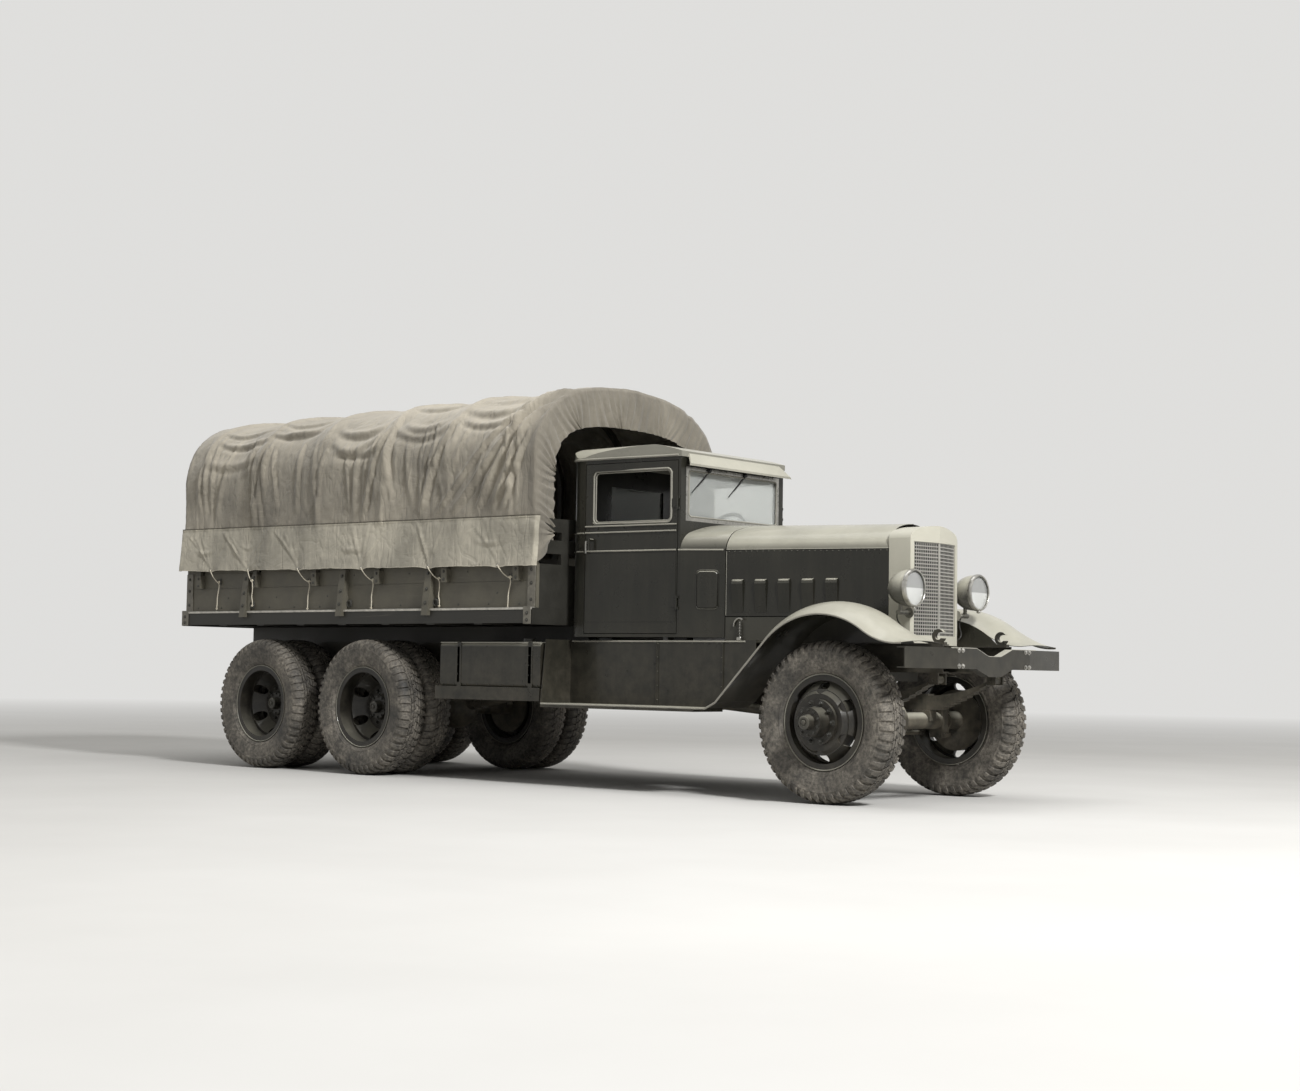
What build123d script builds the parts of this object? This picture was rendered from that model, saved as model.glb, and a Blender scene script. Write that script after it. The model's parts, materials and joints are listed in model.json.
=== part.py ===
from build123d import *
import os
from math import atan2, cos, degrees, radians, sin

# Six-wheel-drive military cargo truck of the early 1930s with a canvas-covered cargo body.
# Millimetres. +X forward, +Y left, +Z up. Lengths along X are first measured from the front
# axle; every finished piece is then moved so that the origin is on the ground, under the
# middle of the whole truck.

# Wheels and axles
WHEELBASE = 4300            # front axle to first rear axle
TANDEM_SPREAD = 1270        # first to second rear axle
TYRE_RADIUS = 530
TYRE_WIDTH = 250
RIM_FLANGE_RADIUS = 315
BEAD_SEAT_RADIUS = 279
RIM_HALF_WIDTH = 85
RIM_WALL = 9
WHEEL_DISH = 138            # tyre middle to the disc's mounting face
HAND_HOLES = 6
FRONT_TYRE_Y = 756          # middle of the front tyre
REAR_OUTER_TYRE_Y = 935     # middle of the outer tyre of a pair
DUAL_SPACING = 275
KINGPIN_Y = 600
HUB_Z = TYRE_RADIUS
AXLE_TUBE_RADIUS = 62
SPINDLE_RADIUS = 45
DRUM_RADIUS = 215

# Chassis frame
FRAME_HALF_WIDTH = 430
RAIL_TOP = 1045
RAIL_DEPTH = 185
RAIL_FLANGE = 75
RAIL_WALL = 8
BRACKET_DEPTH = 50           # across the truck, of the brackets that carry the bogie
FRAME_REAR_X = -6450
PINTLE_REACH = 270          # behind the rear crossmember

# Bumper
BUMPER_FRONT_X = 772
BUMPER_HALF_WIDTH = 965
BUMPER_SWEEP = 65
BUMPER_BOTTOM = 888
BUMPER_HEIGHT = 134
BUMPER_FLANGE = 60
BUMPER_DIP = 50
BUMPER_WALL = 8

# Radiator and hood
SHELL_BACK_X = 130
SHELL_CORNER_X = 300
SHELL_RIDGE_X = 345
SHELL_HALF_WIDTH = 290
SHELL_TOP = 1845
SHELL_SHOULDER = 1755
GRILLE_HALF_WIDTH = 254
GRILLE_BOTTOM = 1108
GRILLE_TOP = 1731
GRILLE_ROWS = 26
GRILLE_COLUMNS = 11          # slots across each half
GRILLE_SLOT_SHARE = 0.5     # a slot's part of its pitch, both ways
GRILLE_EDGE_BAR = 10
GRILLE_RIDGE_BAR = 8
GRILLE_RIB = 5
GRILLE_RIB_PROUD = 4
GRILLE_RIDGE_PROUD = 6
HOOD_REAR_X = -1120
HOOD_FRONT_HALF = 285
HOOD_REAR_HALF = 470
HINGE_FRONT_Z = 1690
HINGE_REAR_Z = 1705
HOOD_FRONT_TOP = 1866
HOOD_REAR_TOP = 1900
HOOD_BOTTOM = 1235
HOOD_SHEET = 5
HOOD_GAP = 5                # between the hood's moving panels and the pieces round them

# Cab
CAB_FRONT_X = -1430
CAB_REAR_X = -2400
CAB_FRONT_HALF = 600
CAB_REAR_HALF = 705
CAB_BOTTOM = 1085
CAB_EAVES = 2370
ROOF_TOP = 2495
CAB_WALL = 40
CAB_FLOOR = 20
DOOR_FRONT_X = -1450
DOOR_REAR_X = -2250
DOOR_BOTTOM = 1112
DOOR_TOP = 2342
DOOR_GAP = 5
WINDOW_BOTTOM = 1905
WINDOW_TOP = 2290
WINDSHIELD_HALF = 515
WINDSHIELD_BOTTOM = 1945
WINDSHIELD_TOP = 2275
WINDSHIELD_RAIL = 30
GLASS = 6

DOOR_AXIS_X = DOOR_FRONT_X - 2
DOOR_AXIS_Y = CAB_FRONT_HALF + 12
DOOR_HINGES_Z = (1300, 2010)
HINGE_RADIUS = 8
HINGE_KNUCKLE = 60
HINGE_EAR = 18

# Running gear covers
FENDER_INNER_Y = 520
FENDER_CROWN_Y = 720
FENDER_OUTER_Y = 970
FENDER_CENTRE = (40, 615)   # centre of the arch over the wheel, X and Z
FENDER_LIP_RADIUS = 613
FENDER_SHEET = 4
BOARD_TOP = 600
BOARD_THICK = 28
BOARD_REAR_X = -2420
BOARD_FRONT_X = -985
SPLASH_Y = 655

# Cargo body
BODY_FRONT_X = -2450
BODY_REAR_X = -6650
BODY_HALF_WIDTH = 1000      # outer face of the side boards
FLOOR_TOP = 1290
FLOOR_THICK = 26
FLOOR_OVERHANG = 42
SILL_BOTTOM = 1170
SIDE_TOP = 1612
SIDE_THICK = 32
PLANK_SEAM = 1487
RACK_TOP = 1950
BOW_FRONT_X = -2620
BOW_PITCH = 762
BOW_COUNT = 6
BOW_THICK = 30
BOW_WIDTH = 45
BOW_FOOT = 1500
CANVAS_HALF_WIDTH = 1052
CANVAS_TOP = 3010
CANVAS_HEM = 1622
CANVAS_THICK = 10
CANVAS_SHOULDER_Z = 2400
CURTAIN_WIDTH = 190         # front and rear curtain, from the side to its opening
CURTAIN_DEPTH = 300         # the same over the top

SEAT_GAP = 0.3              # clearance between seated pieces
PIN_GAP = 0.6               # clearance round pins and pivots
STEER_GAP = 6.0

ORIGIN_X = (BUMPER_FRONT_X + FRAME_REAR_X - PINTLE_REACH) / 2
RAIL_BOTTOM = RAIL_TOP - RAIL_DEPTH
REAR_AXLES = (-WHEELBASE, -WHEELBASE - TANDEM_SPREAD)
BOGIE_X = -WHEELBASE - TANDEM_SPREAD / 2
BOWS = [BOW_FRONT_X - i * BOW_PITCH for i in range(BOW_COUNT)]


def block(x0, x1, y0, y1, z0, z1):
    """A box between two opposite corners."""
    size = (abs(x1 - x0), abs(y1 - y0), abs(z1 - z0))
    return Pos((x0 + x1) / 2, (y0 + y1) / 2, (z0 + z1) / 2) * Box(*size)


def rod_x(x0, x1, y, z, radius):
    return Pos((x0 + x1) / 2, y, z) * Rot(0, 90, 0) * Cylinder(radius, abs(x1 - x0))


def rod_y(x, y0, y1, z, radius):
    return Pos(x, (y0 + y1) / 2, z) * Rot(90, 0, 0) * Cylinder(radius, abs(y1 - y0))


def rod_z(x, y, z0, z1, radius):
    return Pos(x, y, (z0 + z1) / 2) * Cylinder(radius, abs(z1 - z0))


def rod(start, end, radius):
    """A round bar between two points."""
    path = Line(start, end)
    return extrude(Plane(start, z_dir=path % 0) * Circle(radius), path.length)


def other_side(shape):
    return mirror(shape, about=Plane.XZ)


def both_sides(shape):
    return [shape, other_side(shape)]


def outlined(*lines):
    """A flat face inside a closed loop of lines and arcs."""
    return make_face(Wire([edge for line in lines for edge in line.edges()]))


def plate_xz(points, y0, y1):
    """A flat plate cut to an outline in X and Z, between two values of Y."""
    outline = Plane.XZ * make_face(Polyline(*points, close=True))
    return Pos(0, y1, 0) * extrude(outline, y1 - y0)


def plate_yz(points, x0, x1):
    outline = Plane.YZ * make_face(Polyline(*points, close=True))
    return Pos(x0, 0, 0) * extrude(outline, x1 - x0)


def plate_xy(points, z0, z1):
    return Pos(0, 0, z0) * extrude(make_face(Polyline(*points, close=True)), z1 - z0)


def turned(profile, y_middle, outward):
    """A ring or disc about the wheel axis; the profile holds radius and offset outward."""
    points = [(radius, offset * outward) for radius, offset in profile]
    face = Plane.XY * make_face(Polyline(*points, close=True))
    return Pos(0, y_middle, 0) * revolve(face, Axis.Y)


def save(name, *solids):
    """Moves a node's solids to the truck's origin and writes them to one file."""
    moved = [Pos(-ORIGIN_X, 0, 0) * solid for shape in solids for solid in shape.solids()]
    node = moved[0] if len(moved) == 1 else Compound(children=moved)
    node.label = name
    export_step(node, f"parts/{name}.step")


# Wheels

# Radius and offset from the tyre's middle, over tread, shoulder, sidewall and bead
TYRE_PROFILE = [
    (TYRE_RADIUS, 88),
    (TYRE_RADIUS - 16, 114),
    (TYRE_RADIUS - 70, TYRE_WIDTH / 2),
    (TYRE_RADIUS - 130, TYRE_WIDTH / 2 - 4),
    (RIM_FLANGE_RADIUS + 12, RIM_HALF_WIDTH + 8),
    (RIM_FLANGE_RADIUS, RIM_HALF_WIDTH - RIM_WALL),
    (BEAD_SEAT_RADIUS, RIM_HALF_WIDTH - RIM_WALL),
]


def tyre(y_middle):
    mirrored = [(radius, -offset) for radius, offset in reversed(TYRE_PROFILE)]
    return turned(TYRE_PROFILE + mirrored, y_middle, 1)


def disc_wheel(y_middle, outward):
    """Rim with flanges, and a dished disc whose mounting face lies outward of the tyre."""
    bead = BEAD_SEAT_RADIUS
    rim_side = RIM_HALF_WIDTH
    inside = rim_side - RIM_WALL
    rim = turned([
        (RIM_FLANGE_RADIUS, rim_side), (RIM_FLANGE_RADIUS, inside), (bead, inside),
        (bead, -inside), (RIM_FLANGE_RADIUS, -inside), (RIM_FLANGE_RADIUS, -rim_side),
        (bead - RIM_WALL, -rim_side), (bead - RIM_WALL, rim_side),
    ], y_middle, outward)
    dish = WHEEL_DISH
    disc = turned([
        (bead - RIM_WALL / 2, 24), (bead - 18, 40), (186, dish), (75, dish),
        (75, dish - 14), (178, dish - 14), (bead - 30, 24),
    ], y_middle, outward)
    wheel = rim + disc
    hole_radius = 40
    for i in range(HAND_HOLES):
        turn = 360 / HAND_HOLES * (i + 0.5)
        hole = Pos(0, y_middle, 0) * Rot(0, turn, 0) * Pos(222, 0, 0) * Rot(90, 0, 0)
        wheel -= hole * Cylinder(hole_radius, 4 * WHEEL_DISH)
    return wheel


def hub(mount_y, drum_inner_y, spindle_end_y, cap_y, flange_radius):
    """Brake drum, hub barrel and drive flange that turn with a wheel."""
    wall = 12
    drum = turned([
        (DRUM_RADIUS, drum_inner_y), (DRUM_RADIUS, mount_y - 30), (150, mount_y - 14),
        (75, mount_y - 14), (75, mount_y - 14 - wall), (150, mount_y - 14 - wall),
        (DRUM_RADIUS - wall, mount_y - 30 - wall), (DRUM_RADIUS - wall, drum_inner_y),
    ], 0, 1)
    bore = SPINDLE_RADIUS + PIN_GAP
    barrel_end = cap_y - 45
    barrel = turned([
        (bore, drum_inner_y + 20), (75, drum_inner_y + 20), (75, mount_y), (150, mount_y),
        (150, mount_y + 22), (104, mount_y + 22), (88, barrel_end - 18),
        (flange_radius, barrel_end - 18), (flange_radius, barrel_end), (52, barrel_end),
        (46, cap_y), (0, cap_y), (0, spindle_end_y + 2), (bore, spindle_end_y + 2),
    ], 0, 1)
    return drum + barrel


def placed_wheel(shape, axle_x):
    return Pos(axle_x, 0, HUB_Z) * shape


def front_wheel():
    mount = FRONT_TYRE_Y + WHEEL_DISH
    metal = disc_wheel(FRONT_TYRE_Y, 1)
    metal += hub(mount, mount - 124, mount + 40, 1050, 96)
    return placed_wheel(metal, 0), placed_wheel(tyre(FRONT_TYRE_Y), 0)


def rear_wheel(axle_x):
    mount = REAR_OUTER_TYRE_Y - WHEEL_DISH
    inner = REAR_OUTER_TYRE_Y - DUAL_SPACING
    metal = disc_wheel(REAR_OUTER_TYRE_Y, -1) + disc_wheel(inner, 1)
    metal += hub(mount, mount - 190, mount + 30, 905, 90)
    tyres = [placed_wheel(tyre(y), axle_x) for y in (REAR_OUTER_TYRE_Y, inner)]
    return placed_wheel(metal, axle_x), tyres


# Axles and steering

def front_axle():
    """Driven axle: housing, offset differential and a fork for the steering knuckle each side."""
    diff_y = -150
    axle = rod_y(0, -KINGPIN_Y + 90, KINGPIN_Y - 90, HUB_Z, AXLE_TUBE_RADIUS - 4)
    axle += Pos(0, diff_y, HUB_Z) * Sphere(168)
    axle += rod_x(-250, 0, diff_y, HUB_Z, 62)
    for side in (1, -1):
        seat_y = side * SPRING_Y
        axle += block(-70, 70, seat_y - 42, seat_y + 42, HUB_Z, HUB_Z + 72)
        web = block(-48, 48, side * (KINGPIN_Y - 100), side * (KINGPIN_Y - 62), HUB_Z - 118, HUB_Z + 118)
        arms = block(-40, 40, side * (KINGPIN_Y - 100), side * (KINGPIN_Y + 40), HUB_Z - 118, HUB_Z + 118)
        arms -= block(-60, 60, side * (KINGPIN_Y - 62), side * (KINGPIN_Y + 60), HUB_Z - 90, HUB_Z + 90)
        axle += web + arms
        axle -= rod_z(0, side * KINGPIN_Y, HUB_Z - 130, HUB_Z + 130, 18 + PIN_GAP)
    return axle


TIE_ROD_X = -190
TIE_ROD_Z = HUB_Z - 70
ARM_Y = KINGPIN_Y


def knuckle():
    """Left steering knuckle: kingpin boss, spindle, brake back plate and steering arm."""
    boss = rod_z(0, KINGPIN_Y, HUB_Z - 84, HUB_Z + 84, 40)
    pin = rod_z(0, KINGPIN_Y, HUB_Z - 122, HUB_Z + 122, 18)
    mount = FRONT_TYRE_Y + WHEEL_DISH
    spindle = rod_y(0, KINGPIN_Y, mount + 36, HUB_Z, SPINDLE_RADIUS)
    plate_y = mount - 124 - STEER_GAP
    plate = rod_y(0, plate_y - 6, plate_y, HUB_Z, DRUM_RADIUS)
    spacer = rod_y(0, KINGPIN_Y, plate_y, HUB_Z, 64)
    arm = plate_xy([(-20, KINGPIN_Y + 20), (-20, KINGPIN_Y - 20), (TIE_ROD_X - 22, ARM_Y - 20),
                    (TIE_ROD_X - 22, ARM_Y + 20)], TIE_ROD_Z, TIE_ROD_Z + 20)
    ball = rod_z(TIE_ROD_X, ARM_Y, TIE_ROD_Z - 34, TIE_ROD_Z, 9)
    return boss + pin + spindle + plate + spacer + arm + ball


def tie_rod():
    """Track rod below the steering arms, with an eye round each arm's pin."""
    rod_z_middle = TIE_ROD_Z - 20
    bar = rod_y(TIE_ROD_X, -ARM_Y, ARM_Y, rod_z_middle, 16)
    for side in (1, -1):
        eye_y = side * ARM_Y
        bar += rod_z(TIE_ROD_X, eye_y, TIE_ROD_Z - 33, TIE_ROD_Z - 5, 24)
        bore = 9 + (PIN_GAP if side > 0 else 2 * PIN_GAP)
        bar -= rod_z(TIE_ROD_X, eye_y, TIE_ROD_Z - 40, TIE_ROD_Z, bore)
    return bar


def rear_axle(axle_x):
    """Driven rear axle: housing, differential, pinion noses and spindles."""
    mount = REAR_OUTER_TYRE_Y - WHEEL_DISH
    drum_face = mount - 190 - STEER_GAP
    axle = rod_y(axle_x, -drum_face, drum_face, HUB_Z, AXLE_TUBE_RADIUS)
    axle += rod_y(axle_x, -mount - 26, mount + 26, HUB_Z, SPINDLE_RADIUS)
    axle += Pos(axle_x, 0, HUB_Z) * Sphere(178)
    axle += rod_x(axle_x - 250, axle_x + 250, 0, HUB_Z + 40, 62)
    for side in (1, -1):
        axle += rod_y(axle_x, side * (drum_face - 8), side * drum_face, HUB_Z, DRUM_RADIUS)
        pad = block(axle_x - 60, axle_x + 60, side * (REAR_SPRING_Y - 42),
                    side * (REAR_SPRING_Y + 42), HUB_Z, HUB_Z + 72)
        axle += pad
    return axle


# Springs

SPRING_WIDTH = 76
SPRING_Y = 356
SPRING_HALF = 560
SPRING_EYE_Z = 822
REAR_SPRING_Y = 480
LEAF = 11


def leaf_stack(x_middle, y_middle, z_middle, end_rise, half, leaves, upward):
    """Leaves of falling length, each an arched strip, stacked on the longest one."""
    stack = None
    for i in range(leaves):
        reach = half * (1 - 0.78 * i / leaves)
        rise = end_rise * (reach / half) ** 2
        z = z_middle - upward * i * LEAF
        upper = ThreePointArc((-reach, z + rise), (0, z), (reach, z + rise))
        lower = ThreePointArc((reach, z + rise - LEAF), (0, z - LEAF), (-reach, z + rise - LEAF))
        edge = outlined(upper, Line(upper @ 1, lower @ 0), lower, Line(lower @ 1, upper @ 0))
        leaf = extrude(Plane.XZ * edge, SPRING_WIDTH / 2, both=True)
        stack = leaf if stack is None else stack + leaf
    return Pos(x_middle, y_middle, 0) * stack


def front_spring():
    leaves = 9
    seat = HUB_Z + 72 + SEAT_GAP
    top = seat + leaves * LEAF
    spring = leaf_stack(0, SPRING_Y, top, SPRING_EYE_Z - top, SPRING_HALF, leaves, 1)
    spring += block(-55, 55, SPRING_Y - 38, SPRING_Y + 38, seat, top + 14)
    for end in (-SPRING_HALF, SPRING_HALF):
        spring += rod_y(end, SPRING_Y - 38, SPRING_Y + 38, SPRING_EYE_Z - LEAF / 2, 26)
        spring += rod_y(end, SPRING_Y - 50, SPRING_Y + 50, SPRING_EYE_Z - LEAF / 2, 12)
    return spring


TRUNNION_Z = 742
TRUNNION_RADIUS = 46


def rear_spring():
    """Inverted pack: clamped over the trunnion, its ends resting on the two rear axles."""
    leaves = 11
    pad_top = HUB_Z + 72 + SEAT_GAP
    half = TANDEM_SPREAD / 2 + 70
    drop = TRUNNION_Z + 62 - (pad_top + LEAF)
    low = TRUNNION_Z + 62 + LEAF
    spring = leaf_stack(BOGIE_X, REAR_SPRING_Y, low, -drop, half, leaves, -1)
    clamp_top = low + leaves * LEAF
    spring += block(BOGIE_X - 75, BOGIE_X + 75, REAR_SPRING_Y - 38, REAR_SPRING_Y + 38,
                    TRUNNION_Z + 60, clamp_top)
    saddle = rod_y(BOGIE_X, REAR_SPRING_Y - 44, REAR_SPRING_Y + 38, TRUNNION_Z, 78)
    saddle -= rod_y(BOGIE_X, REAR_SPRING_Y - 60, REAR_SPRING_Y + 60, TRUNNION_Z,
                    TRUNNION_RADIUS + SEAT_GAP)
    return spring + saddle


# Frame

def rail():
    outer = FRAME_HALF_WIDTH
    front = BUMPER_FRONT_X - BUMPER_WALL - SEAT_GAP
    profile = [
        (outer, RAIL_BOTTOM), (outer, RAIL_TOP), (outer - RAIL_FLANGE, RAIL_TOP),
        (outer - RAIL_FLANGE, RAIL_TOP - RAIL_WALL), (outer - RAIL_WALL, RAIL_TOP - RAIL_WALL),
        (outer - RAIL_WALL, RAIL_BOTTOM + RAIL_WALL),
        (outer - RAIL_FLANGE, RAIL_BOTTOM + RAIL_WALL), (outer - RAIL_FLANGE, RAIL_BOTTOM),
    ]
    channel = plate_yz(profile, FRAME_REAR_X, front)
    reach = BUMPER_FLANGE + 60
    notch = block(front - reach, front + 1, outer - 120, outer + 20, RAIL_BOTTOM - 20,
                  BUMPER_BOTTOM + BUMPER_WALL + SEAT_GAP)
    cap = block(front - reach, front + 1, outer - 120, outer + 20,
                BUMPER_BOTTOM + BUMPER_HEIGHT - BUMPER_WALL - SEAT_GAP, RAIL_TOP + 20)
    return channel - notch - cap


# Name of place, X at the middle, width along X, bottom and top
CROSSMEMBERS = [
    ("radiator", 225, 90, RAIL_BOTTOM + 60, RAIL_TOP),
    ("gearbox", -1960, 80, RAIL_BOTTOM + 60, RAIL_TOP - RAIL_WALL),
    ("transfer front", -2480, 70, RAIL_BOTTOM + 60, RAIL_TOP - RAIL_WALL),
    ("transfer rear", -3160, 70, RAIL_BOTTOM + 60, RAIL_TOP - RAIL_WALL),
    ("bogie front", -4620, 70, RAIL_BOTTOM + 20, RAIL_TOP - RAIL_WALL),
    ("bogie rear", -5250, 70, RAIL_BOTTOM + 20, RAIL_TOP - RAIL_WALL),
    ("tail", FRAME_REAR_X + 45, 90, RAIL_BOTTOM, RAIL_TOP),
]


def spring_hanger(x):
    """A fork under the rail that holds a spring eye's pin."""
    eye_z = SPRING_EYE_Z - LEAF / 2
    hanger = block(x - 34, x + 34, SPRING_Y - 52, SPRING_Y + 52, eye_z - 32, RAIL_BOTTOM + 1)
    hanger -= block(x - 60, x + 60, SPRING_Y - 40, SPRING_Y + 40, eye_z - 60, RAIL_BOTTOM - 4)
    hanger -= rod_y(x, SPRING_Y - 60, SPRING_Y + 60, eye_z, 12 + SEAT_GAP)
    return hanger


def frame_side():
    """One side rail with its spring hangers, the bogie's bracket and its end of the trunnion."""
    side = rail()
    for x in (-SPRING_HALF, SPRING_HALF):
        side += spring_hanger(x)
    bracket = plate_xz([(BOGIE_X - 170, RAIL_BOTTOM + 60), (BOGIE_X + 170, RAIL_BOTTOM + 60),
                        (BOGIE_X + 62, TRUNNION_Z - 58), (BOGIE_X - 62, TRUNNION_Z - 58)],
                       FRAME_HALF_WIDTH - BRACKET_DEPTH, FRAME_HALF_WIDTH)
    bracket -= block(BOGIE_X - 200, BOGIE_X + 200, 0, FRAME_HALF_WIDTH - 12, RAIL_BOTTOM,
                     RAIL_TOP)
    trunnion = rod_y(BOGIE_X, FRAME_HALF_WIDTH - BRACKET_DEPTH, REAR_SPRING_Y + 38, TRUNNION_Z,
                     TRUNNION_RADIUS)
    return side + bracket + trunnion


def frame_crossmembers():
    """Channels between the rails, and the middle of the trunnion shaft between its brackets."""
    inner = FRAME_HALF_WIDTH - RAIL_WALL
    wall = RAIL_WALL
    members = []
    for name, x, width, low, high in CROSSMEMBERS:
        member = block(x - width / 2, x + width / 2, -inner, inner, low, high)
        facing = wall if name == "tail" else 0
        member -= block(x - width / 2 + facing - 1, x + width / 2 + facing - wall, -inner - 1,
                        inner + 1, low + wall, high - wall)
        for side_rail in both_sides(rail()):
            member -= side_rail
        members.append(member)
    reach = FRAME_HALF_WIDTH - BRACKET_DEPTH
    members.append(rod_y(BOGIE_X, -reach, reach, TRUNNION_Z, TRUNNION_RADIUS))
    return members


def front_bumper():
    """Pressed channel, swept back at its ends and dipped in the middle for the crank."""
    half = BUMPER_HALF_WIDTH
    top = BUMPER_BOTTOM + BUMPER_HEIGHT
    front = BUMPER_FRONT_X

    def outline(inset):
        low, high, dip = BUMPER_BOTTOM + inset, top - inset, BUMPER_DIP
        reach = half + (50 if inset else 0)
        upper = [(reach, high), (225, high), (75, high - dip), (-75, high - dip), (-225, high),
                 (-reach, high)]
        lower = [(-reach, low), (-225, low), (-75, low - dip), (75, low - dip), (225, low),
                 (reach, low)]
        return upper + lower

    def plan(inset, back):
        edge = [(front - BUMPER_SWEEP - inset, -half - 60), (front - BUMPER_SWEEP - inset, -half),
                (front - inset, -450), (front - inset, 450),
                (front - BUMPER_SWEEP - inset, half), (front - BUMPER_SWEEP - inset, half + 60)]
        rear = [(x - back, y) for x, y in reversed(edge)]
        return edge + rear

    bar = plate_yz(outline(0), front - 200, front + 1) & plate_xy(plan(0, BUMPER_FLANGE), 700, 1200)
    hollow = plate_yz(outline(BUMPER_WALL), front - 250, front + 1)
    hollow &= plate_xy(plan(BUMPER_WALL, BUMPER_FLANGE + 20), 700, 1200)
    return bar - hollow


def towing_gear():
    """Open hooks on the frame horns and a closed pintle on the tail crossmember."""
    base_z = RAIL_TOP + SEAT_GAP
    hook_x = 590
    y = FRAME_HALF_WIDTH - 40
    ring_z = base_z + 12 + 40
    base = block(hook_x - 75, hook_x + 50, y - 16, y + 16, base_z, base_z + 14)
    ring = rod_y(hook_x, y - 14, y + 14, ring_z, 46) - rod_y(hook_x, y - 20, y + 20, ring_z, 24)
    mouth = block(hook_x, hook_x + 60, y - 20, y + 20, ring_z - 14, ring_z + 26)
    hook = base + (ring - mouth)
    plate_x = FRAME_REAR_X - SEAT_GAP
    z = RAIL_BOTTOM + RAIL_DEPTH / 2
    eye_x = FRAME_REAR_X - PINTLE_REACH + 62
    pintle = block(plate_x - 18, plate_x, -85, 85, z - 75, z + 75)
    pintle += rod_x(eye_x + 40, plate_x, 0, z, 34)
    pintle += rod_y(eye_x, -30, 30, z, 62) - rod_y(eye_x, -40, 40, z, PINTLE_BORE)
    pintle -= rod_y(eye_x, -40, 40, z, PINTLE_BORE)
    return both_sides(hook) + [pintle]


PINTLE_BORE = 32


# Power train

def engine_and_gearbox():
    block_part = block(-930, 20, -235, 235, 800, 1430)
    bell = block(-1130, -930, -190, 190, 800, 1050)
    gearbox = block(-1700, -1130, -150, 150, 780, 1040)
    return block_part + bell + gearbox


TRANSFER_X = (-3080, -2600)
TRANSFER_Z = (640, 1000)


def transfer_case():
    return block(*TRANSFER_X, -200, 150, *TRANSFER_Z)


def propeller_shafts():
    """Tubes with a yoke at each end: X, Y and Z of both ends."""
    runs = [
        ((-1700, 0, 860), (TRANSFER_X[1], 0, 860)),
        ((-250, -150, HUB_Z), (TRANSFER_X[1], -150, 700)),
        ((TRANSFER_X[0], 0, 700), (-WHEELBASE + 250, 0, HUB_Z + 40)),
        ((-WHEELBASE - 250, 0, HUB_Z + 40), (-WHEELBASE - TANDEM_SPREAD + 250, 0, HUB_Z + 40)),
    ]
    shafts = []
    for start, end in runs:
        (x0, y0, z0), (x1, y1, z1) = start, end
        step = SEAT_GAP if x1 > x0 else -SEAT_GAP
        toward = 1 if x1 > x0 else -1
        first = (x0 + 70 * toward, y0, z0)
        second = (x1 - 70 * toward, y1, z1)
        shaft = rod(first, second, 36)
        shaft += rod_x(x0 + step, x0 + 80 * toward, y0, z0, 50)
        shaft += rod_x(x1 - step, x1 - 80 * toward, y1, z1, 50)
        shafts.append(shaft)
    return shafts


# Radiator and hood

CROWN_TURN = 18             # degrees from the peak to where the crown meets the shoulder
SHOULDER_TURN = 80          # degrees from upright at the shoulder's lower end


def crown(half, side_z, peak, inset=0):
    """Two tangent arcs from a side up to the middle of a rounded top, inset evenly."""
    s1, c1 = sin(radians(CROWN_TURN)), cos(radians(CROWN_TURN))
    s2, c2 = sin(radians(SHOULDER_TURN)), cos(radians(SHOULDER_TURN))
    drop = side_z - peak
    spread = s1 * (c2 - c1) - (c1 - 1) * (s2 - s1)
    large = (half * (c2 - c1) - drop * (s2 - s1)) / spread
    small = (s1 * drop - (c1 - 1) * half) / spread
    centre = ((large - small) * s1, peak - large + (large - small) * c1)

    def on_shoulder(turn):
        reach = small - inset
        return centre[0] + reach * sin(radians(turn)), centre[1] + reach * cos(radians(turn))

    def on_crown(turn):
        reach = large - inset
        return reach * sin(radians(turn)), peak - large + reach * cos(radians(turn))

    shoulder = ThreePointArc(on_shoulder(SHOULDER_TURN),
                             on_shoulder((SHOULDER_TURN + CROWN_TURN) / 2), on_shoulder(CROWN_TURN))
    top = ThreePointArc(shoulder @ 1, on_crown(CROWN_TURN / 2), on_crown(0))
    return shoulder, top


def vaulted(half, low, side_z, peak, inset=0):
    """A closed outline with upright sides under a rounded top."""
    shoulder, top = crown(half, side_z, peak, inset)
    side = Line((half - inset, low), shoulder @ 0)
    right = [side, shoulder, top]
    left = [mirror(line, about=Plane.YZ) for line in right]
    return outlined(*right, *left, Line((half - inset, low), (inset - half, low)))


def shell_outline(inset):
    """Front view of the radiator shell: straight sides and a crowned top."""
    return Plane.YZ * vaulted(SHELL_HALF_WIDTH, RAIL_TOP + SEAT_GAP + inset, SHELL_SHOULDER,
                              SHELL_TOP, inset)


def nose_plan(setback):
    """Top view of the V-shaped nose, moved back by the given amount."""
    half = SHELL_HALF_WIDTH + 20
    slope = (SHELL_RIDGE_X - SHELL_CORNER_X) / SHELL_HALF_WIDTH
    corner = SHELL_RIDGE_X - slope * half
    return [(SHELL_BACK_X - 200, -half), (corner - setback, -half), (SHELL_RIDGE_X - setback, 0),
            (corner - setback, half), (SHELL_BACK_X - 200, half)]


SHELL_WALL = 14
GRILLE_SETBACK = 8
GRILLE_THICK = 7


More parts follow.
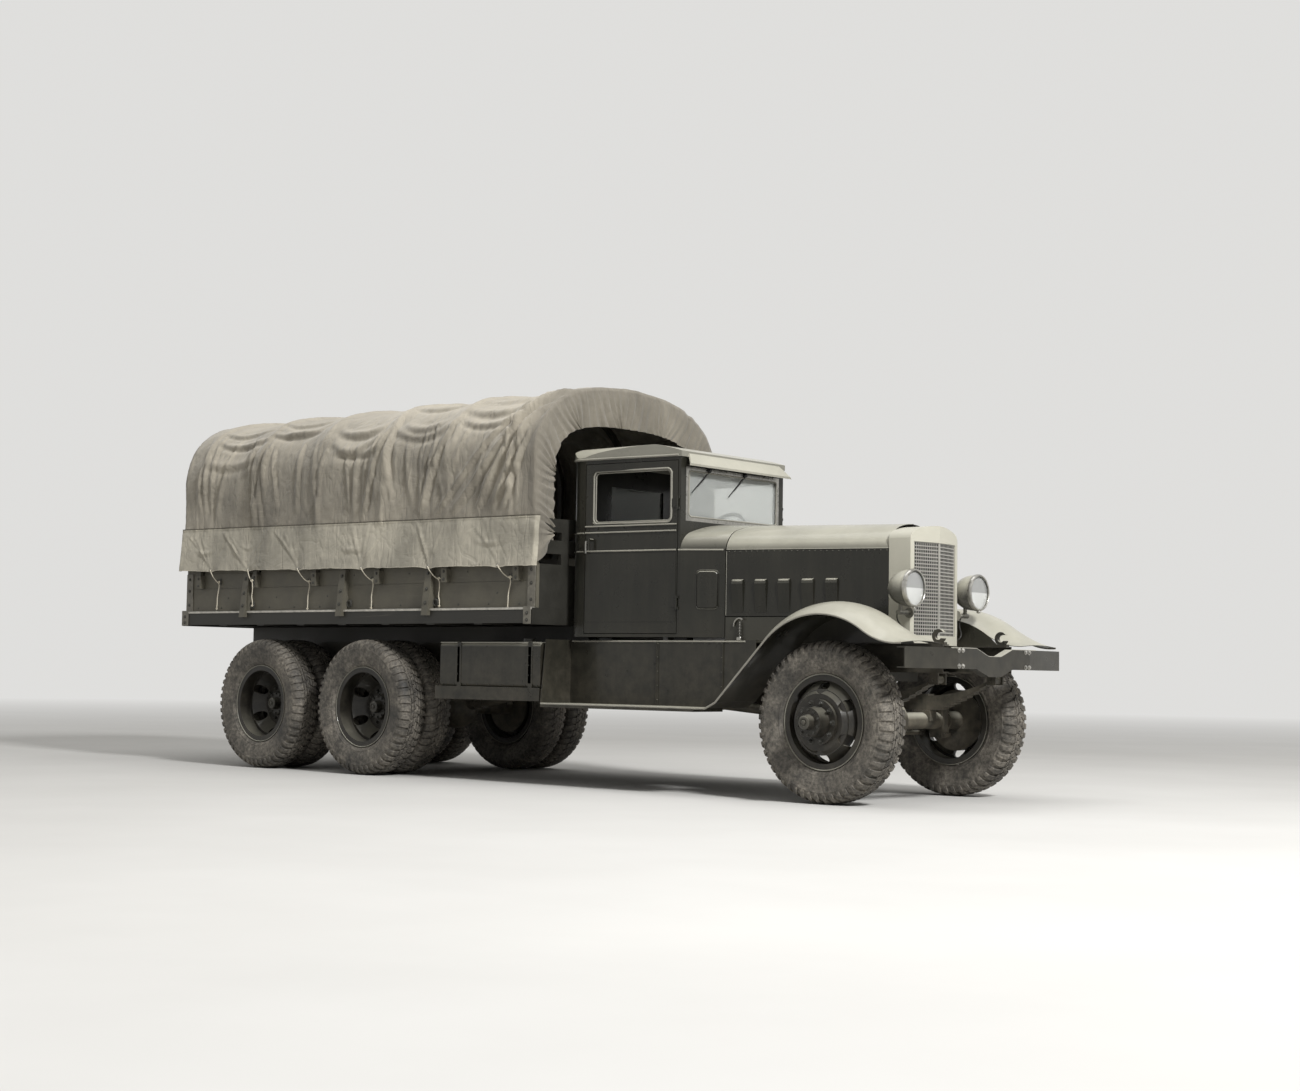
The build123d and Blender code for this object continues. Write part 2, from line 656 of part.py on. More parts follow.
def radiator_shell():
    """V-nosed shell with the grille's opening, and the core that shows behind it."""
    depth = SHELL_RIDGE_X - SHELL_BACK_X
    solid = Pos(SHELL_BACK_X, 0, 0) * extrude(shell_outline(0), depth + 10)
    solid &= plate_xy(nose_plan(0), 900, 2000)
    room = Pos(SHELL_BACK_X - 1, 0, 0) * extrude(shell_outline(SHELL_WALL), depth)
    room &= plate_xy(nose_plan(SHELL_WALL), 900, 2000)
    shell = solid - room
    half = GRILLE_HALF_WIDTH
    shell -= block(SHELL_BACK_X, SHELL_RIDGE_X + 20, -half, half, GRILLE_BOTTOM, GRILLE_TOP)
    core_half = SHELL_HALF_WIDTH - SHELL_WALL + 2
    core = block(SHELL_BACK_X + 2, SHELL_BACK_X + 92, -core_half, core_half,
                 RAIL_TOP + SEAT_GAP, SHELL_SHOULDER - 10)
    return shell + core


def radiator_grille():
    """Pierced V guard: rows of slots under proud ribs, two faces meeting at a ridge bar."""
    clear = SEAT_GAP
    half = GRILLE_HALF_WIDTH - clear
    low, high = GRILLE_BOTTOM + clear, GRILLE_TOP - clear
    behind = plate_xy(nose_plan(GRILLE_SETBACK + GRILLE_THICK), low - 1, high + 1)
    field = half - GRILLE_EDGE_BAR - GRILLE_RIDGE_BAR
    row_pitch = (high - low) / GRILLE_ROWS
    column_pitch = field / GRILLE_COLUMNS
    slot_high, slot_wide = GRILLE_SLOT_SHARE * row_pitch, GRILLE_SLOT_SHARE * column_pitch
    guard = plate_xy(nose_plan(GRILLE_SETBACK), low, high)
    ribs = []
    slots = []
    for row in range(GRILLE_ROWS):
        z = low + (row + 0.5) * row_pitch
        rib_low = z + slot_high / 2
        if row < GRILLE_ROWS - 1:
            rib = plate_xy(nose_plan(GRILLE_SETBACK - GRILLE_RIB_PROUD), rib_low, rib_low + GRILLE_RIB)
            ribs.append(rib & block(SHELL_BACK_X, SHELL_RIDGE_X + 20, -half + GRILLE_EDGE_BAR,
                                    half - GRILLE_EDGE_BAR, rib_low, rib_low + GRILLE_RIB))
        for column in range(GRILLE_COLUMNS):
            y = GRILLE_RIDGE_BAR + (column + 0.5) * column_pitch
            for side in (1, -1):
                slots.append(block(SHELL_BACK_X + 90, SHELL_RIDGE_X + 5, side * y - slot_wide / 2,
                                   side * y + slot_wide / 2, z - slot_high / 2, z + slot_high / 2))
    ridge = plate_xy(nose_plan(GRILLE_SETBACK - GRILLE_RIDGE_PROUD), low, high)
    ridge &= block(SHELL_BACK_X, SHELL_RIDGE_X + 20, -GRILLE_RIDGE_BAR, GRILLE_RIDGE_BAR, low, high)
    guard -= slots
    guard += [*ribs, ridge]
    guard -= behind
    return guard & block(SHELL_BACK_X + 95, SHELL_RIDGE_X, -half, half, low, high)


HINGE_ROD = 5


def across(x):
    """The plane of a cross section, with Y to the left and Z up."""
    return Plane((x, 0, 0), x_dir=(0, 1, 0), z_dir=(1, 0, 0))


def hood_top():
    """Left half of the hood top: a sheet lofted from its rear to its front section."""
    def section(x, peak):
        half, hinge_z = hood_line(x)
        outer = crown(half, hinge_z + 1, peak)
        inner = crown(half, hinge_z + 1, peak, HOOD_SHEET)
        ends = [Line(outer[0] @ 0, inner[0] @ 0), Line(outer[1] @ 1, inner[1] @ 1)]
        return across(x) * outlined(*outer, *inner, *ends)

    rear_x, front_x = HOOD_REAR_X + HOOD_GAP, SHELL_BACK_X - HOOD_GAP
    sheet = loft([section(rear_x, HOOD_REAR_TOP), section(front_x, HOOD_FRONT_TOP)], ruled=True)
    sheet -= block(rear_x - 9, front_x + 9, -9, HINGE_ROD + SEAT_GAP, HOOD_FRONT_TOP - 90, HOOD_REAR_TOP + 9)
    edge = rod((rear_x, *side_hinge(rear_x)), (front_x, *side_hinge(front_x)), SIDE_HINGE_RADIUS)
    return sheet + edge


SIDE_HINGE_RADIUS = 4.5


def side_hinge(x):
    """Y and Z of the hinge rod under the hood top's outer edge."""
    half, z = hood_line(x)
    return half - HOOD_SHEET / 2, z - 3


def hood_line(x):
    """Half width and hinge height of the hood at a place along it."""
    share = (x - HOOD_REAR_X) / (SHELL_BACK_X - HOOD_REAR_X)
    half = HOOD_REAR_HALF + share * (HOOD_FRONT_HALF - HOOD_REAR_HALF)
    return half, HINGE_REAR_Z + share * (HINGE_FRONT_Z - HINGE_REAR_Z)


def side_sheet(z_low, top_drop, sheet, x_rear, x_front):
    """A sheet in the plane of the hood's left side, from a level up to below the hinge line."""
    rear_y, rear_z = hood_line(x_rear)
    front_y, front_z = hood_line(x_front)
    rear_top = z_low[1] if z_low[1] else rear_z - top_drop
    front_top = z_low[1] if z_low[1] else front_z - top_drop
    length = Vector(x_front - x_rear, front_y - rear_y, 0)
    along = length.normalized()
    inward = Vector(along.Y, -along.X, 0)
    plane = Plane((x_rear, rear_y, 0), x_dir=along, z_dir=inward)
    run = length.length
    upright = plane.y_dir.Z
    corners = [(0, z_low[0] * upright), (run, z_low[0] * upright), (run, front_top * upright),
               (0, rear_top * upright)]
    return extrude(plane * make_face(Polyline(*corners, close=True)), sheet)


LOUVRES = 5
LOUVRE_FIRST_X = -1060
LOUVRE_PITCH = 182


def hood_side():
    """Left hood side with five tall raised vents."""
    drop = 3 + SIDE_HINGE_RADIUS + SEAT_GAP
    sheet = side_sheet((HOOD_BOTTOM, None), drop, HOOD_SHEET, HOOD_REAR_X + HOOD_GAP,
                       SHELL_BACK_X - HOOD_GAP)
    for i in range(LOUVRES):
        x = LOUVRE_FIRST_X + i * LOUVRE_PITCH
        y, _ = hood_line(x)
        vent = plate_yz([(y - 4, HOOD_BOTTOM + 25), (y + 2, HOOD_BOTTOM + 25), (y + 20, 1462),
                         (y + 15, 1486), (y - 4, 1494)], x - 2, x + 86)
        turn = atan2(HOOD_FRONT_HALF - HOOD_REAR_HALF, SHELL_BACK_X - HOOD_REAR_X)
        sheet += Pos(x, y, 0) * Rot(0, 0, degrees(turn)) * Pos(-x, -y, 0) * vent
    return sheet


COWL_WALL = 18


def cowl():
    """Scuttle between hood and cab: a lofted shell with a firewall and a foot floor."""
    rear_x, front_x = CAB_FRONT_X + SEAT_GAP, HOOD_REAR_X - 3
    rear_top = WINDSHIELD_BOTTOM - WINDSHIELD_RAIL - 1

    def hull(back, front, inset, low):
        rear = across(back) * vaulted(CAB_FRONT_HALF, low, HINGE_REAR_Z, rear_top, inset)
        nose = across(front) * vaulted(HOOD_REAR_HALF, low, HINGE_REAR_Z, HOOD_REAR_TOP, inset)
        return loft([rear, nose], ruled=True)

    shell = hull(rear_x, front_x, 0, CAB_BOTTOM)
    shell -= hull(rear_x - 1, front_x - COWL_WALL, COWL_WALL, CAB_BOTTOM + CAB_FLOOR)
    hinge = rod((HOOD_REAR_X - 6, 0, HOOD_REAR_TOP - HOOD_SHEET / 2),
                (SHELL_BACK_X - SEAT_GAP, 0, HOOD_FRONT_TOP - HOOD_SHEET / 2), HINGE_ROD)
    return shell + hinge


# Cab

def cab_side_y(x):
    share = (CAB_FRONT_X - x) / (CAB_FRONT_X - DOOR_REAR_X)
    return CAB_FRONT_HALF + share * (CAB_REAR_HALF - CAB_FRONT_HALF)


def cab_plan(inset):
    """Top view of the cab: tapered toward the hood, with round rear corners."""
    corner_y = CAB_REAR_HALF + 4
    right = [(CAB_FRONT_X, CAB_FRONT_HALF), (DOOR_REAR_X, CAB_REAR_HALF), (CAB_REAR_X, corner_y)]
    left = [(x, -y) for x, y in reversed(right)]
    face = make_face(Polyline(*right, *left, close=True))
    corners = [v for v in face.vertices() if v.X < CAB_REAR_X + 1]
    face = fillet(corners, 95)
    return offset(face, -inset, kind=Kind.INTERSECTION) if inset else face


def cab_body():
    """Cab walls and floor, open at the doors, windshield, rear window and foot well."""
    height = CAB_EAVES - CAB_BOTTOM
    shell = Pos(0, 0, CAB_BOTTOM) * extrude(cab_plan(0), height)
    shell -= Pos(0, 0, CAB_BOTTOM + CAB_FLOOR) * extrude(cab_plan(CAB_WALL), height)
    sill_y = cab_side_y(DOOR_FRONT_X) - CAB_WALL - 4
    doorway = block(DOOR_REAR_X, DOOR_FRONT_X, sill_y, 900, DOOR_BOTTOM - DOOR_GAP, DOOR_TOP + DOOR_GAP)
    for opening in both_sides(doorway):
        shell -= opening
    pillar_y = cab_side_y(DOOR_FRONT_X)
    for z in DOOR_HINGES_Z:
        for low in (z - HINGE_EAR - SEAT_GAP, z + HINGE_KNUCKLE + SEAT_GAP):
            ear = rod_z(DOOR_AXIS_X, DOOR_AXIS_Y, low, low + HINGE_EAR, HINGE_RADIUS)
            ear += block(DOOR_AXIS_X, DOOR_FRONT_X + 16, pillar_y - 8, DOOR_AXIS_Y, low, low + HINGE_EAR)
            for leaf in both_sides(ear):
                shell += leaf
    for x, length in ((CAB_FRONT_X - 130, 120), (CAB_REAR_X + 120, 120)):
        foot = block(x - length / 2, x + length / 2, FRAME_HALF_WIDTH - RAIL_FLANGE, FRAME_HALF_WIDTH,
                     RAIL_TOP + SEAT_GAP, CAB_BOTTOM + 1)
        for side in both_sides(foot):
            shell += side
    frame_half = WINDSHIELD_HALF + WINDSHIELD_RAIL + SEAT_GAP
    shell -= block(CAB_FRONT_X - 60, CAB_FRONT_X + 10, -frame_half, frame_half,
                   WINDSHIELD_BOTTOM - WINDSHIELD_RAIL - SEAT_GAP,
                   WINDSHIELD_TOP + WINDSHIELD_RAIL + SEAT_GAP)
    shell -= block(CAB_FRONT_X - 60, CAB_FRONT_X + 10, -CAB_FRONT_HALF + 30, CAB_FRONT_HALF - 30,
                   CAB_BOTTOM + CAB_FLOOR, 1690)
    shell -= block(CAB_REAR_X - 10, CAB_REAR_X + 60, -300, 300, 1950, 2220)
    shell += block(CAB_REAR_X + CAB_WALL - 1, SEAT_FRONT_X - 30, -560, 560, CAB_BOTTOM + 10, SEAT_BASE_TOP)
    return shell


SEAT_FRONT_X = -1880
SEAT_BASE_TOP = 1395
SEAT_CUSHION = 150


def seat():
    """Bench cushion and back rest as plain soft solids."""
    wall = CAB_REAR_X + CAB_WALL + SEAT_GAP
    back_thick = 120
    cushion = block(wall + back_thick + 1, SEAT_FRONT_X, -560, 560, SEAT_BASE_TOP + SEAT_GAP,
                    SEAT_BASE_TOP + SEAT_CUSHION)
    back = block(wall, wall + back_thick, -560, 560, SEAT_BASE_TOP + SEAT_GAP, 1930)
    cushion = fillet(cushion.edges().filter_by(Axis.Y), 30)
    back = fillet(back.edges().filter_by(Axis.Y).sort_by(Axis.Z)[-2:], 40)
    return cushion, back


def cab_roof():
    """Crowned roof panel and the sun visor in front of it."""
    low = CAB_EAVES + SEAT_GAP

    def crowned(inset, top):
        half = CAB_REAR_HALF + 14 - inset
        shoulder = top - 34
        right = ThreePointArc((half, low - 1), (half - 26, shoulder - 26), (half - 130, shoulder))
        crown = ThreePointArc((half - 130, shoulder), (0, top), (-half + 130, shoulder))
        left = ThreePointArc((-half + 130, shoulder), (-half + 26, shoulder - 26), (-half, low - 1))
        edges = [right, crown, left, Line((-half, low - 1), (half, low - 1))]
        width_wise = extrude(Plane.YZ * outlined(*edges), 3000, both=True)
        side = outlined(
            ThreePointArc((CAB_REAR_X - 9 + inset, low - 1), (CAB_REAR_X + 22 + inset, top - 60),
                          (CAB_REAR_X + 130 + inset, top - 22)),
            ThreePointArc((CAB_REAR_X + 130 + inset, top - 22), (-1950, top),
                          (CAB_FRONT_X + 15, top - 86)),
            Line((CAB_FRONT_X + 15, top - 86), (CAB_FRONT_X + 15, low - 1)),
            Line((CAB_FRONT_X + 15, low - 1), (CAB_REAR_X - 9 + inset, low - 1)),
        )
        along = extrude(Plane.XZ * side, 900, both=True)
        return width_wise & along

    rim = Pos(0, 0, low) * extrude(offset(cab_plan(0), 10, kind=Kind.INTERSECTION), 200)
    roof = crowned(0, ROOF_TOP) & rim
    room = crowned(22, ROOF_TOP - 22) & (Pos(0, 0, low - 5) * extrude(cab_plan(CAB_WALL), 200))
    roof -= room
    visor_top = [(CAB_FRONT_X + 2, low), (CAB_FRONT_X + 2, low + 30), (CAB_FRONT_X + 16, low + 24),
                 (CAB_FRONT_X + 80, low - 54), (CAB_FRONT_X + 82, low - 70),
                 (CAB_FRONT_X + 74, low - 68), (CAB_FRONT_X + 72, low - 58),
                 (CAB_FRONT_X + 24, low)]
    visor = plate_xz(visor_top, -600, 600)
    for side in (1, -1):
        taper = plate_yz([(side * 525, 2400), (side * 640, 2400), (side * 640, 2290),
                          (side * 604, 2290)], CAB_FRONT_X, CAB_FRONT_X + 120)
        visor -= taper
    return roof + visor


def windshield_frame():
    half, rail_width = WINDSHIELD_HALF, WINDSHIELD_RAIL
    low, high = WINDSHIELD_BOTTOM, WINDSHIELD_TOP
    ring = block(CAB_FRONT_X - 34, CAB_FRONT_X + 2, -half - rail_width, half + rail_width,
                 low - rail_width, high + rail_width)
    return ring - block(CAB_FRONT_X - 60, CAB_FRONT_X + 30, -half, half, low, high)


def cab_glass():
    """Windshield pane in its frame and the rear window's pane."""
    half = WINDSHIELD_HALF
    pane = block(CAB_FRONT_X - 18, CAB_FRONT_X - 18 + GLASS, -half, half, WINDSHIELD_BOTTOM, WINDSHIELD_TOP)
    rear = block(CAB_REAR_X + 16, CAB_REAR_X + 16 + GLASS, -300, 300, 1950, 2220)
    return pane, rear


def door():
    """Left door as thick as the wall, with its window cut and a raised lower panel."""
    front, rear = DOOR_FRONT_X - DOOR_GAP, DOOR_REAR_X + DOOR_GAP
    outline = [(front, cab_side_y(front)), (rear, cab_side_y(rear)),
               (rear, cab_side_y(rear) - CAB_WALL), (front, cab_side_y(front) - CAB_WALL)]
    leaf = plate_xy(outline, DOOR_BOTTOM, DOOR_TOP)
    pane = block(rear + 58, front - 52, 500, 900, WINDOW_BOTTOM, WINDOW_TOP)
    leaf -= fillet(pane.edges().filter_by(Axis.Y), 26)

    def raised(x0, x1, z0, z1, proud, sunk=4):
        corners = [(x0, cab_side_y(x0) - sunk), (x1, cab_side_y(x1) - sunk),
                   (x1, cab_side_y(x1) + proud), (x0, cab_side_y(x0) + proud)]
        return plate_xy(corners, z0, z1)

    leaf += raised(rear + 8, front - 8, 1195, 1690, 3)
    for z in (1701, 1836, 1880):
        leaf += raised(rear, front, z, z + 9, 7)
    handle_x = rear + 62
    y = cab_side_y(handle_x)
    leaf += rod_y(handle_x, y - 4, y + 42, 1790, 9)
    leaf += rod_z(handle_x, y + 42, 1715, 1798, 9)
    for z in DOOR_HINGES_Z:
        leaf += block(front - 56, DOOR_AXIS_X - 1, cab_side_y(front) - 2, DOOR_AXIS_Y + 3, z,
                      z + HINGE_KNUCKLE)
        leaf += rod_z(DOOR_AXIS_X, DOOR_AXIS_Y, z, z + HINGE_KNUCKLE, HINGE_RADIUS)
    return leaf


# Dash and controls

def dashboard():
    panel = block(CAB_FRONT_X - 78, CAB_FRONT_X - CAB_WALL - SEAT_GAP, -545, 545, 1700, 1880)
    panel -= block(CAB_FRONT_X - 70, CAB_FRONT_X, -530, 530, 1690, 1868)
    dials = None
    for y in (90, 190, -10):
        dials = rod_x(CAB_FRONT_X - 90, CAB_FRONT_X - 74, y, 1790, 40)
        panel += dials
    return panel


WHEEL_Y = 280
COLUMN_TILT = 38            # degrees of the steering column from level
STEERING_WHEEL_AT = (-1770, 1850)
COLUMN_FOOT_X = -1142
STEERING_WHEEL_RADIUS = 220
STEERING_HUB = (-11, 51)     # along the column, from the rim's plane


def column_point(distance):
    """A point on the steering column, measured down from the wheel's centre."""
    x, z = STEERING_WHEEL_AT
    return (x + distance * cos(radians(COLUMN_TILT)), WHEEL_Y, z - distance * sin(radians(COLUMN_TILT)))


def driver_controls():
    """Column, three pedals, gear lever and hand brake."""
    column = rod(column_point(STEERING_HUB[1] + SEAT_GAP), column_point(777), 24)
    pedals = []
    for y in (120, 210, 350):
        foot_z = CAB_BOTTOM + CAB_FLOOR + SEAT_GAP
        arm = plate_xz([(-1146, foot_z), (-1155, 1180), (-1275, 1300), (-1290, 1285), (-1180, 1160),
                        (-1172, foot_z)], y - 7, y + 7)
        arm += plate_xz([(-1268, 1322), (-1300, 1255), (-1310, 1260), (-1278, 1327)], y - 32, y + 32)
        pedals.append(arm)
    floor = CAB_BOTTOM + CAB_FLOOR
    lever = rod((-1560, 0, floor + 5), (-1690, 0, 1560), 9) + Pos(-1690, 0, 1570) * Sphere(24)
    lever += rod_z(-1560, 0, floor + SEAT_GAP, floor + 22, 42)
    brake = rod((-1480, -90, floor + 5), (-1560, -90, 1480), 10)
    brake += block(-1520, -1450, -104, -76, floor + SEAT_GAP, floor + 30)
    return [column] + pedals + [lever, brake]


def steering_wheel():
    """Rim, four spokes and hub about the column's axis."""
    centre = column_point(0)
    axis = Vector(cos(radians(COLUMN_TILT)), 0, -sin(radians(COLUMN_TILT)))
    plane = Plane(centre, x_dir=(0, 1, 0), z_dir=axis)
    wheel = plane * Torus(STEERING_WHEEL_RADIUS, 14)
    hub_low, hub_high = STEERING_HUB
    wheel += plane * Pos(0, 0, (hub_low + hub_high) / 2) * Cylinder(34, hub_high - hub_low)
    for i in range(4):
        wheel += plane * Rot(0, 0, 45 + 90 * i) * Pos(STEERING_WHEEL_RADIUS / 2, 0, 6) * Box(
            STEERING_WHEEL_RADIUS - 10, 18, 8)
    return wheel


# Fenders, boards and tanks

def fender_section(x, z, lean, crown, inner):
    """Crowned strip at a lip point, leaning forward from upright by some degrees."""
    up = radians(lean)
    plane = Plane((x, 0, z), x_dir=(0, 1, 0), z_dir=(cos(up), 0, -sin(up)))
    sheet = FENDER_SHEET
    outer = ThreePointArc((FENDER_INNER_Y, inner), (FENDER_CROWN_Y, crown), (FENDER_OUTER_Y, 0))
    under = ThreePointArc((FENDER_OUTER_Y - sheet, -0.6 * sheet), (FENDER_CROWN_Y, crown - sheet),
                          (FENDER_INNER_Y, inner - sheet))
    edges = [outer, Line(outer @ 1, under @ 0), under, Line(under @ 1, outer @ 0)]
    return plane * outlined(*edges)


CROWN = 88
INNER_RISE = 12
ARCH_REAR_LEAN = -45
ARCH_FRONT_LEAN = 35


def front_fender():
    """Left fender: an arch turned about the wheel, a lofted nose and a lofted tail."""
    cx, cz = FENDER_CENTRE
    radius = FENDER_LIP_RADIUS

    def on_arch(lean):
        angle = radians(lean)
        return cx + radius * sin(angle), cz + radius * cos(angle)

    rear = fender_section(*on_arch(ARCH_REAR_LEAN), ARCH_REAR_LEAN, CROWN, INNER_RISE)
    front = fender_section(*on_arch(ARCH_FRONT_LEAN), ARCH_FRONT_LEAN, CROWN, INNER_RISE)
    axis = Axis((cx, 0, cz), (0, 1, 0))
    arch = revolve(rear, axis, ARCH_FRONT_LEAN - ARCH_REAR_LEAN)
    bend = fender_section(512, 1062, 20, 74, 10)
    tip = fender_section(682, 1047, 0, 14, 4)
    nose = loft([front, bend, tip])
    knee = fender_section(-800, BOARD_TOP + 40, ARCH_REAR_LEAN, 18, 10)
    foot = fender_section(-885, BOARD_TOP - 1, 0, 6, 5)
    toe = fender_section(BOARD_FRONT_X + SEAT_GAP, BOARD_TOP - 2, 0, 6, 5)
    tail = loft([rear, knee], ruled=True) + loft([knee, foot], ruled=True)
    tail += loft([foot, toe], ruled=True)
    fender = arch + nose + tail
    low = RAIL_TOP + SEAT_GAP
    inner = FENDER_INNER_Y
    disc = rod_y(cx, inner, inner + FENDER_SHEET, cz, radius + INNER_RISE - 1)
    skirt = disc & block(-420, 640, inner, inner + FENDER_SHEET, low, 1400)
    rear_x, front_x = HOOD_REAR_X + 4, SHELL_BACK_X - 4
    ledge = plate_xy([(rear_x, hood_line(rear_x)[0] - 1), (front_x, hood_line(front_x)[0] - 1),
                      (front_x, inner + FENDER_SHEET), (rear_x, inner + FENDER_SHEET)],
                     low, low + FENDER_SHEET)
    front_ledge = block(front_x, 560, FRAME_HALF_WIDTH - 60, inner + FENDER_SHEET, low,
                        low + FENDER_SHEET)
    front_ledge -= block(500, 700, FRAME_HALF_WIDTH - 62, FRAME_HALF_WIDTH - 18, low - 5, low + 50)
    apron = side_sheet((low, HOOD_BOTTOM - 6), 0, HOOD_SHEET, rear_x, front_x)
    return fender + skirt + ledge + front_ledge + apron


def running_board():
    """Left running board with the splash panels above it and the plate that closes its rear end."""
    rear, front = BOARD_REAR_X, BOARD_FRONT_X
    y0, y1 = SPLASH_Y, FENDER_OUTER_Y
    board = block(rear, front, y0 - 4, y1, BOARD_TOP - BOARD_THICK, BOARD_TOP)
    board -= block(rear + 4, front - 4, y0 + 4, y1 - 4, BOARD_TOP - BOARD_THICK - 1, BOARD_TOP - 4)
    top = CAB_BOTTOM - 22
    panel = block(rear, -700, y0 - 4, y0, BOARD_TOP - 10, top)
    lip = block(rear, HOOD_REAR_X - 1, FRAME_HALF_WIDTH + SEAT_GAP, y0, top - 4, top)
    lip += block(HOOD_REAR_X - 2, -700, FENDER_INNER_Y + 8, y0, top - 4, top)
    end = plate_yz([(y0 - 4, BOARD_TOP - 10), (y1, BOARD_TOP - 10), (y1 - 48, top), (y0 - 4, top)],
                   rear, rear + 4)
    above = 26
    panel -= plate_xz([(front, BOARD_TOP + 10), (-885, BOARD_TOP + 10), (-812, BOARD_TOP + 52 + above),
                       (-600, BOARD_TOP + 321 + above), (-600, 400), (front, 400)], y0 - 60, y0 + 60)
    whole = board + panel + lip + end
    for x in (-1575, front):
        whole += block(x - 9, x + 9, y0 - 2, y0 + 4, BOARD_TOP + 10, top)
    for x in (-2350, -1700, -1150):
        whole += block(x - 5, x + 5, FRAME_HALF_WIDTH + SEAT_GAP, y0 - 3, BOARD_TOP - 20, top - 3)
    return whole


TANK_X = (-3500, -2445)
TANK_Y = (525, 948)
TANK_Z = (708, 1038)


def fuel_tank():
    """Left tank with rounded edges, two straps, a ledge under it and arms to the frame."""
    tank = block(*TANK_X, *TANK_Y, *TANK_Z)
    tank = fillet(tank.edges().filter_by(Axis.X), 34)
    for x in (-3310, -2560):
        strap = block(x - 24, x + 24, TANK_Y[0] - 4, TANK_Y[1] + 4, TANK_Z[0] - 4, TANK_Z[1] + 4)
        tank += fillet(strap.edges().filter_by(Axis.X), 36)
        tank += block(x - 30, x + 30, FRAME_HALF_WIDTH + SEAT_GAP, TANK_Y[0] + 4, 865, 960)
    ledge = block(TANK_X[0] - 45, TANK_X[1], TANK_Y[0] - 20, TANK_Y[1] + 6, 612, TANK_Z[0] + 1)
    ledge -= block(TANK_X[0] - 60, TANK_X[1] + 20, TANK_Y[0] - 30, TANK_Y[1] - 2, 600, TANK_Z[0] - 7)
    cap = rod_z(TANK_X[1] - 230, TANK_Y[1] - 120, TANK_Z[1] - 2, TANK_Z[1] + 30, 45)
    return tank + ledge + cap


# Lights

LAMP_Y = 400
LAMP_Z = 1412
LAMP_FRONT_X = 401
LAMP_RADIUS = 125
LAMP_DEPTH = 190
STALK_SETBACK = 105


def headlight():
    """Left lamp: a deep bowl with a bezel, on a bent stalk from the radiator shell."""
    r, d = LAMP_RADIUS, LAMP_DEPTH
    bowl_line = ThreePointArc((20, -d), (0.8 * r, -0.62 * d), (r - 4, -24))
    bezel = Polyline((r - 4, -24), (r, -20), (r, 0), (r - 9, 0), (r - 9, -8), (0, -8))
    face = outlined(Line((0, -d), (20, -d)), bowl_line, bezel, Line((0, -8), (0, -d)))
    bowl = Pos(LAMP_FRONT_X, LAMP_Y, LAMP_Z) * Rot(0, 0, -90) * revolve(face, Axis.Y)
    x = LAMP_FRONT_X - STALK_SETBACK
    arm_z = LAMP_Z - LAMP_RADIUS - 33
    stalk = rod_y(x, SHELL_HALF_WIDTH + SEAT_GAP, SHELL_HALF_WIDTH + 10, arm_z, 34)
    stalk += rod_y(x, SHELL_HALF_WIDTH + 6, LAMP_Y + 30, arm_z, 16)
    stalk += rod_z(x, LAMP_Y, arm_z - 8, LAMP_Z - 60, 13)
    return bowl + stalk


def headlight_lens():
    radius = LAMP_RADIUS - 9 - 2 * SEAT_GAP
    bulge = 14
    ball = (radius ** 2 + bulge ** 2) / (2 * bulge)
    flat_x = LAMP_FRONT_X - 8 + SEAT_GAP
    rim = rod_x(flat_x, flat_x + 6 + bulge, LAMP_Y, LAMP_Z, radius)
    return rim & (Pos(flat_x + 6 + bulge - ball, LAMP_Y, LAMP_Z) * Sphere(ball))


# Cargo body

def cargo_floor():
    """Floor boards on cross sills, on two long timbers that lie on the frame rails."""
    half = BODY_HALF_WIDTH + FLOOR_OVERHANG
    floor = block(BODY_REAR_X, BODY_FRONT_X, -half, half, FLOOR_TOP - FLOOR_THICK, FLOOR_TOP)
    count = 9
    pitch = (BODY_FRONT_X - BODY_REAR_X - 90) / (count - 1)
    for i in range(count):
        x = BODY_REAR_X + i * pitch
        floor += block(x, x + 90, -half + 6, half - 6, SILL_BOTTOM, FLOOR_TOP - FLOOR_THICK + 1)
    for side in (1, -1):
        floor += block(FRAME_REAR_X, BODY_FRONT_X, side * (FRAME_HALF_WIDTH - RAIL_FLANGE),
                       side * FRAME_HALF_WIDTH, RAIL_TOP + SEAT_GAP, SILL_BOTTOM + 1)
        floor += block(BODY_REAR_X, BODY_FRONT_X, side * (half - 14), side * half, SILL_BOTTOM + 8,
                       FLOOR_TOP)
    x, z = TAILGATE_AXIS
    for y in (-600, 0, 600):
        for start in (y + 35 + SEAT_GAP, y - 60 - SEAT_GAP):
            floor += rod_y(x, start, start + 25, z, 4.5)
            floor += block(x, BODY_REAR_X + 1, start, start + 25, z - 4.5, z + 4.5)
    return floor


STAKES_X = (-3560, -4560, -5790)


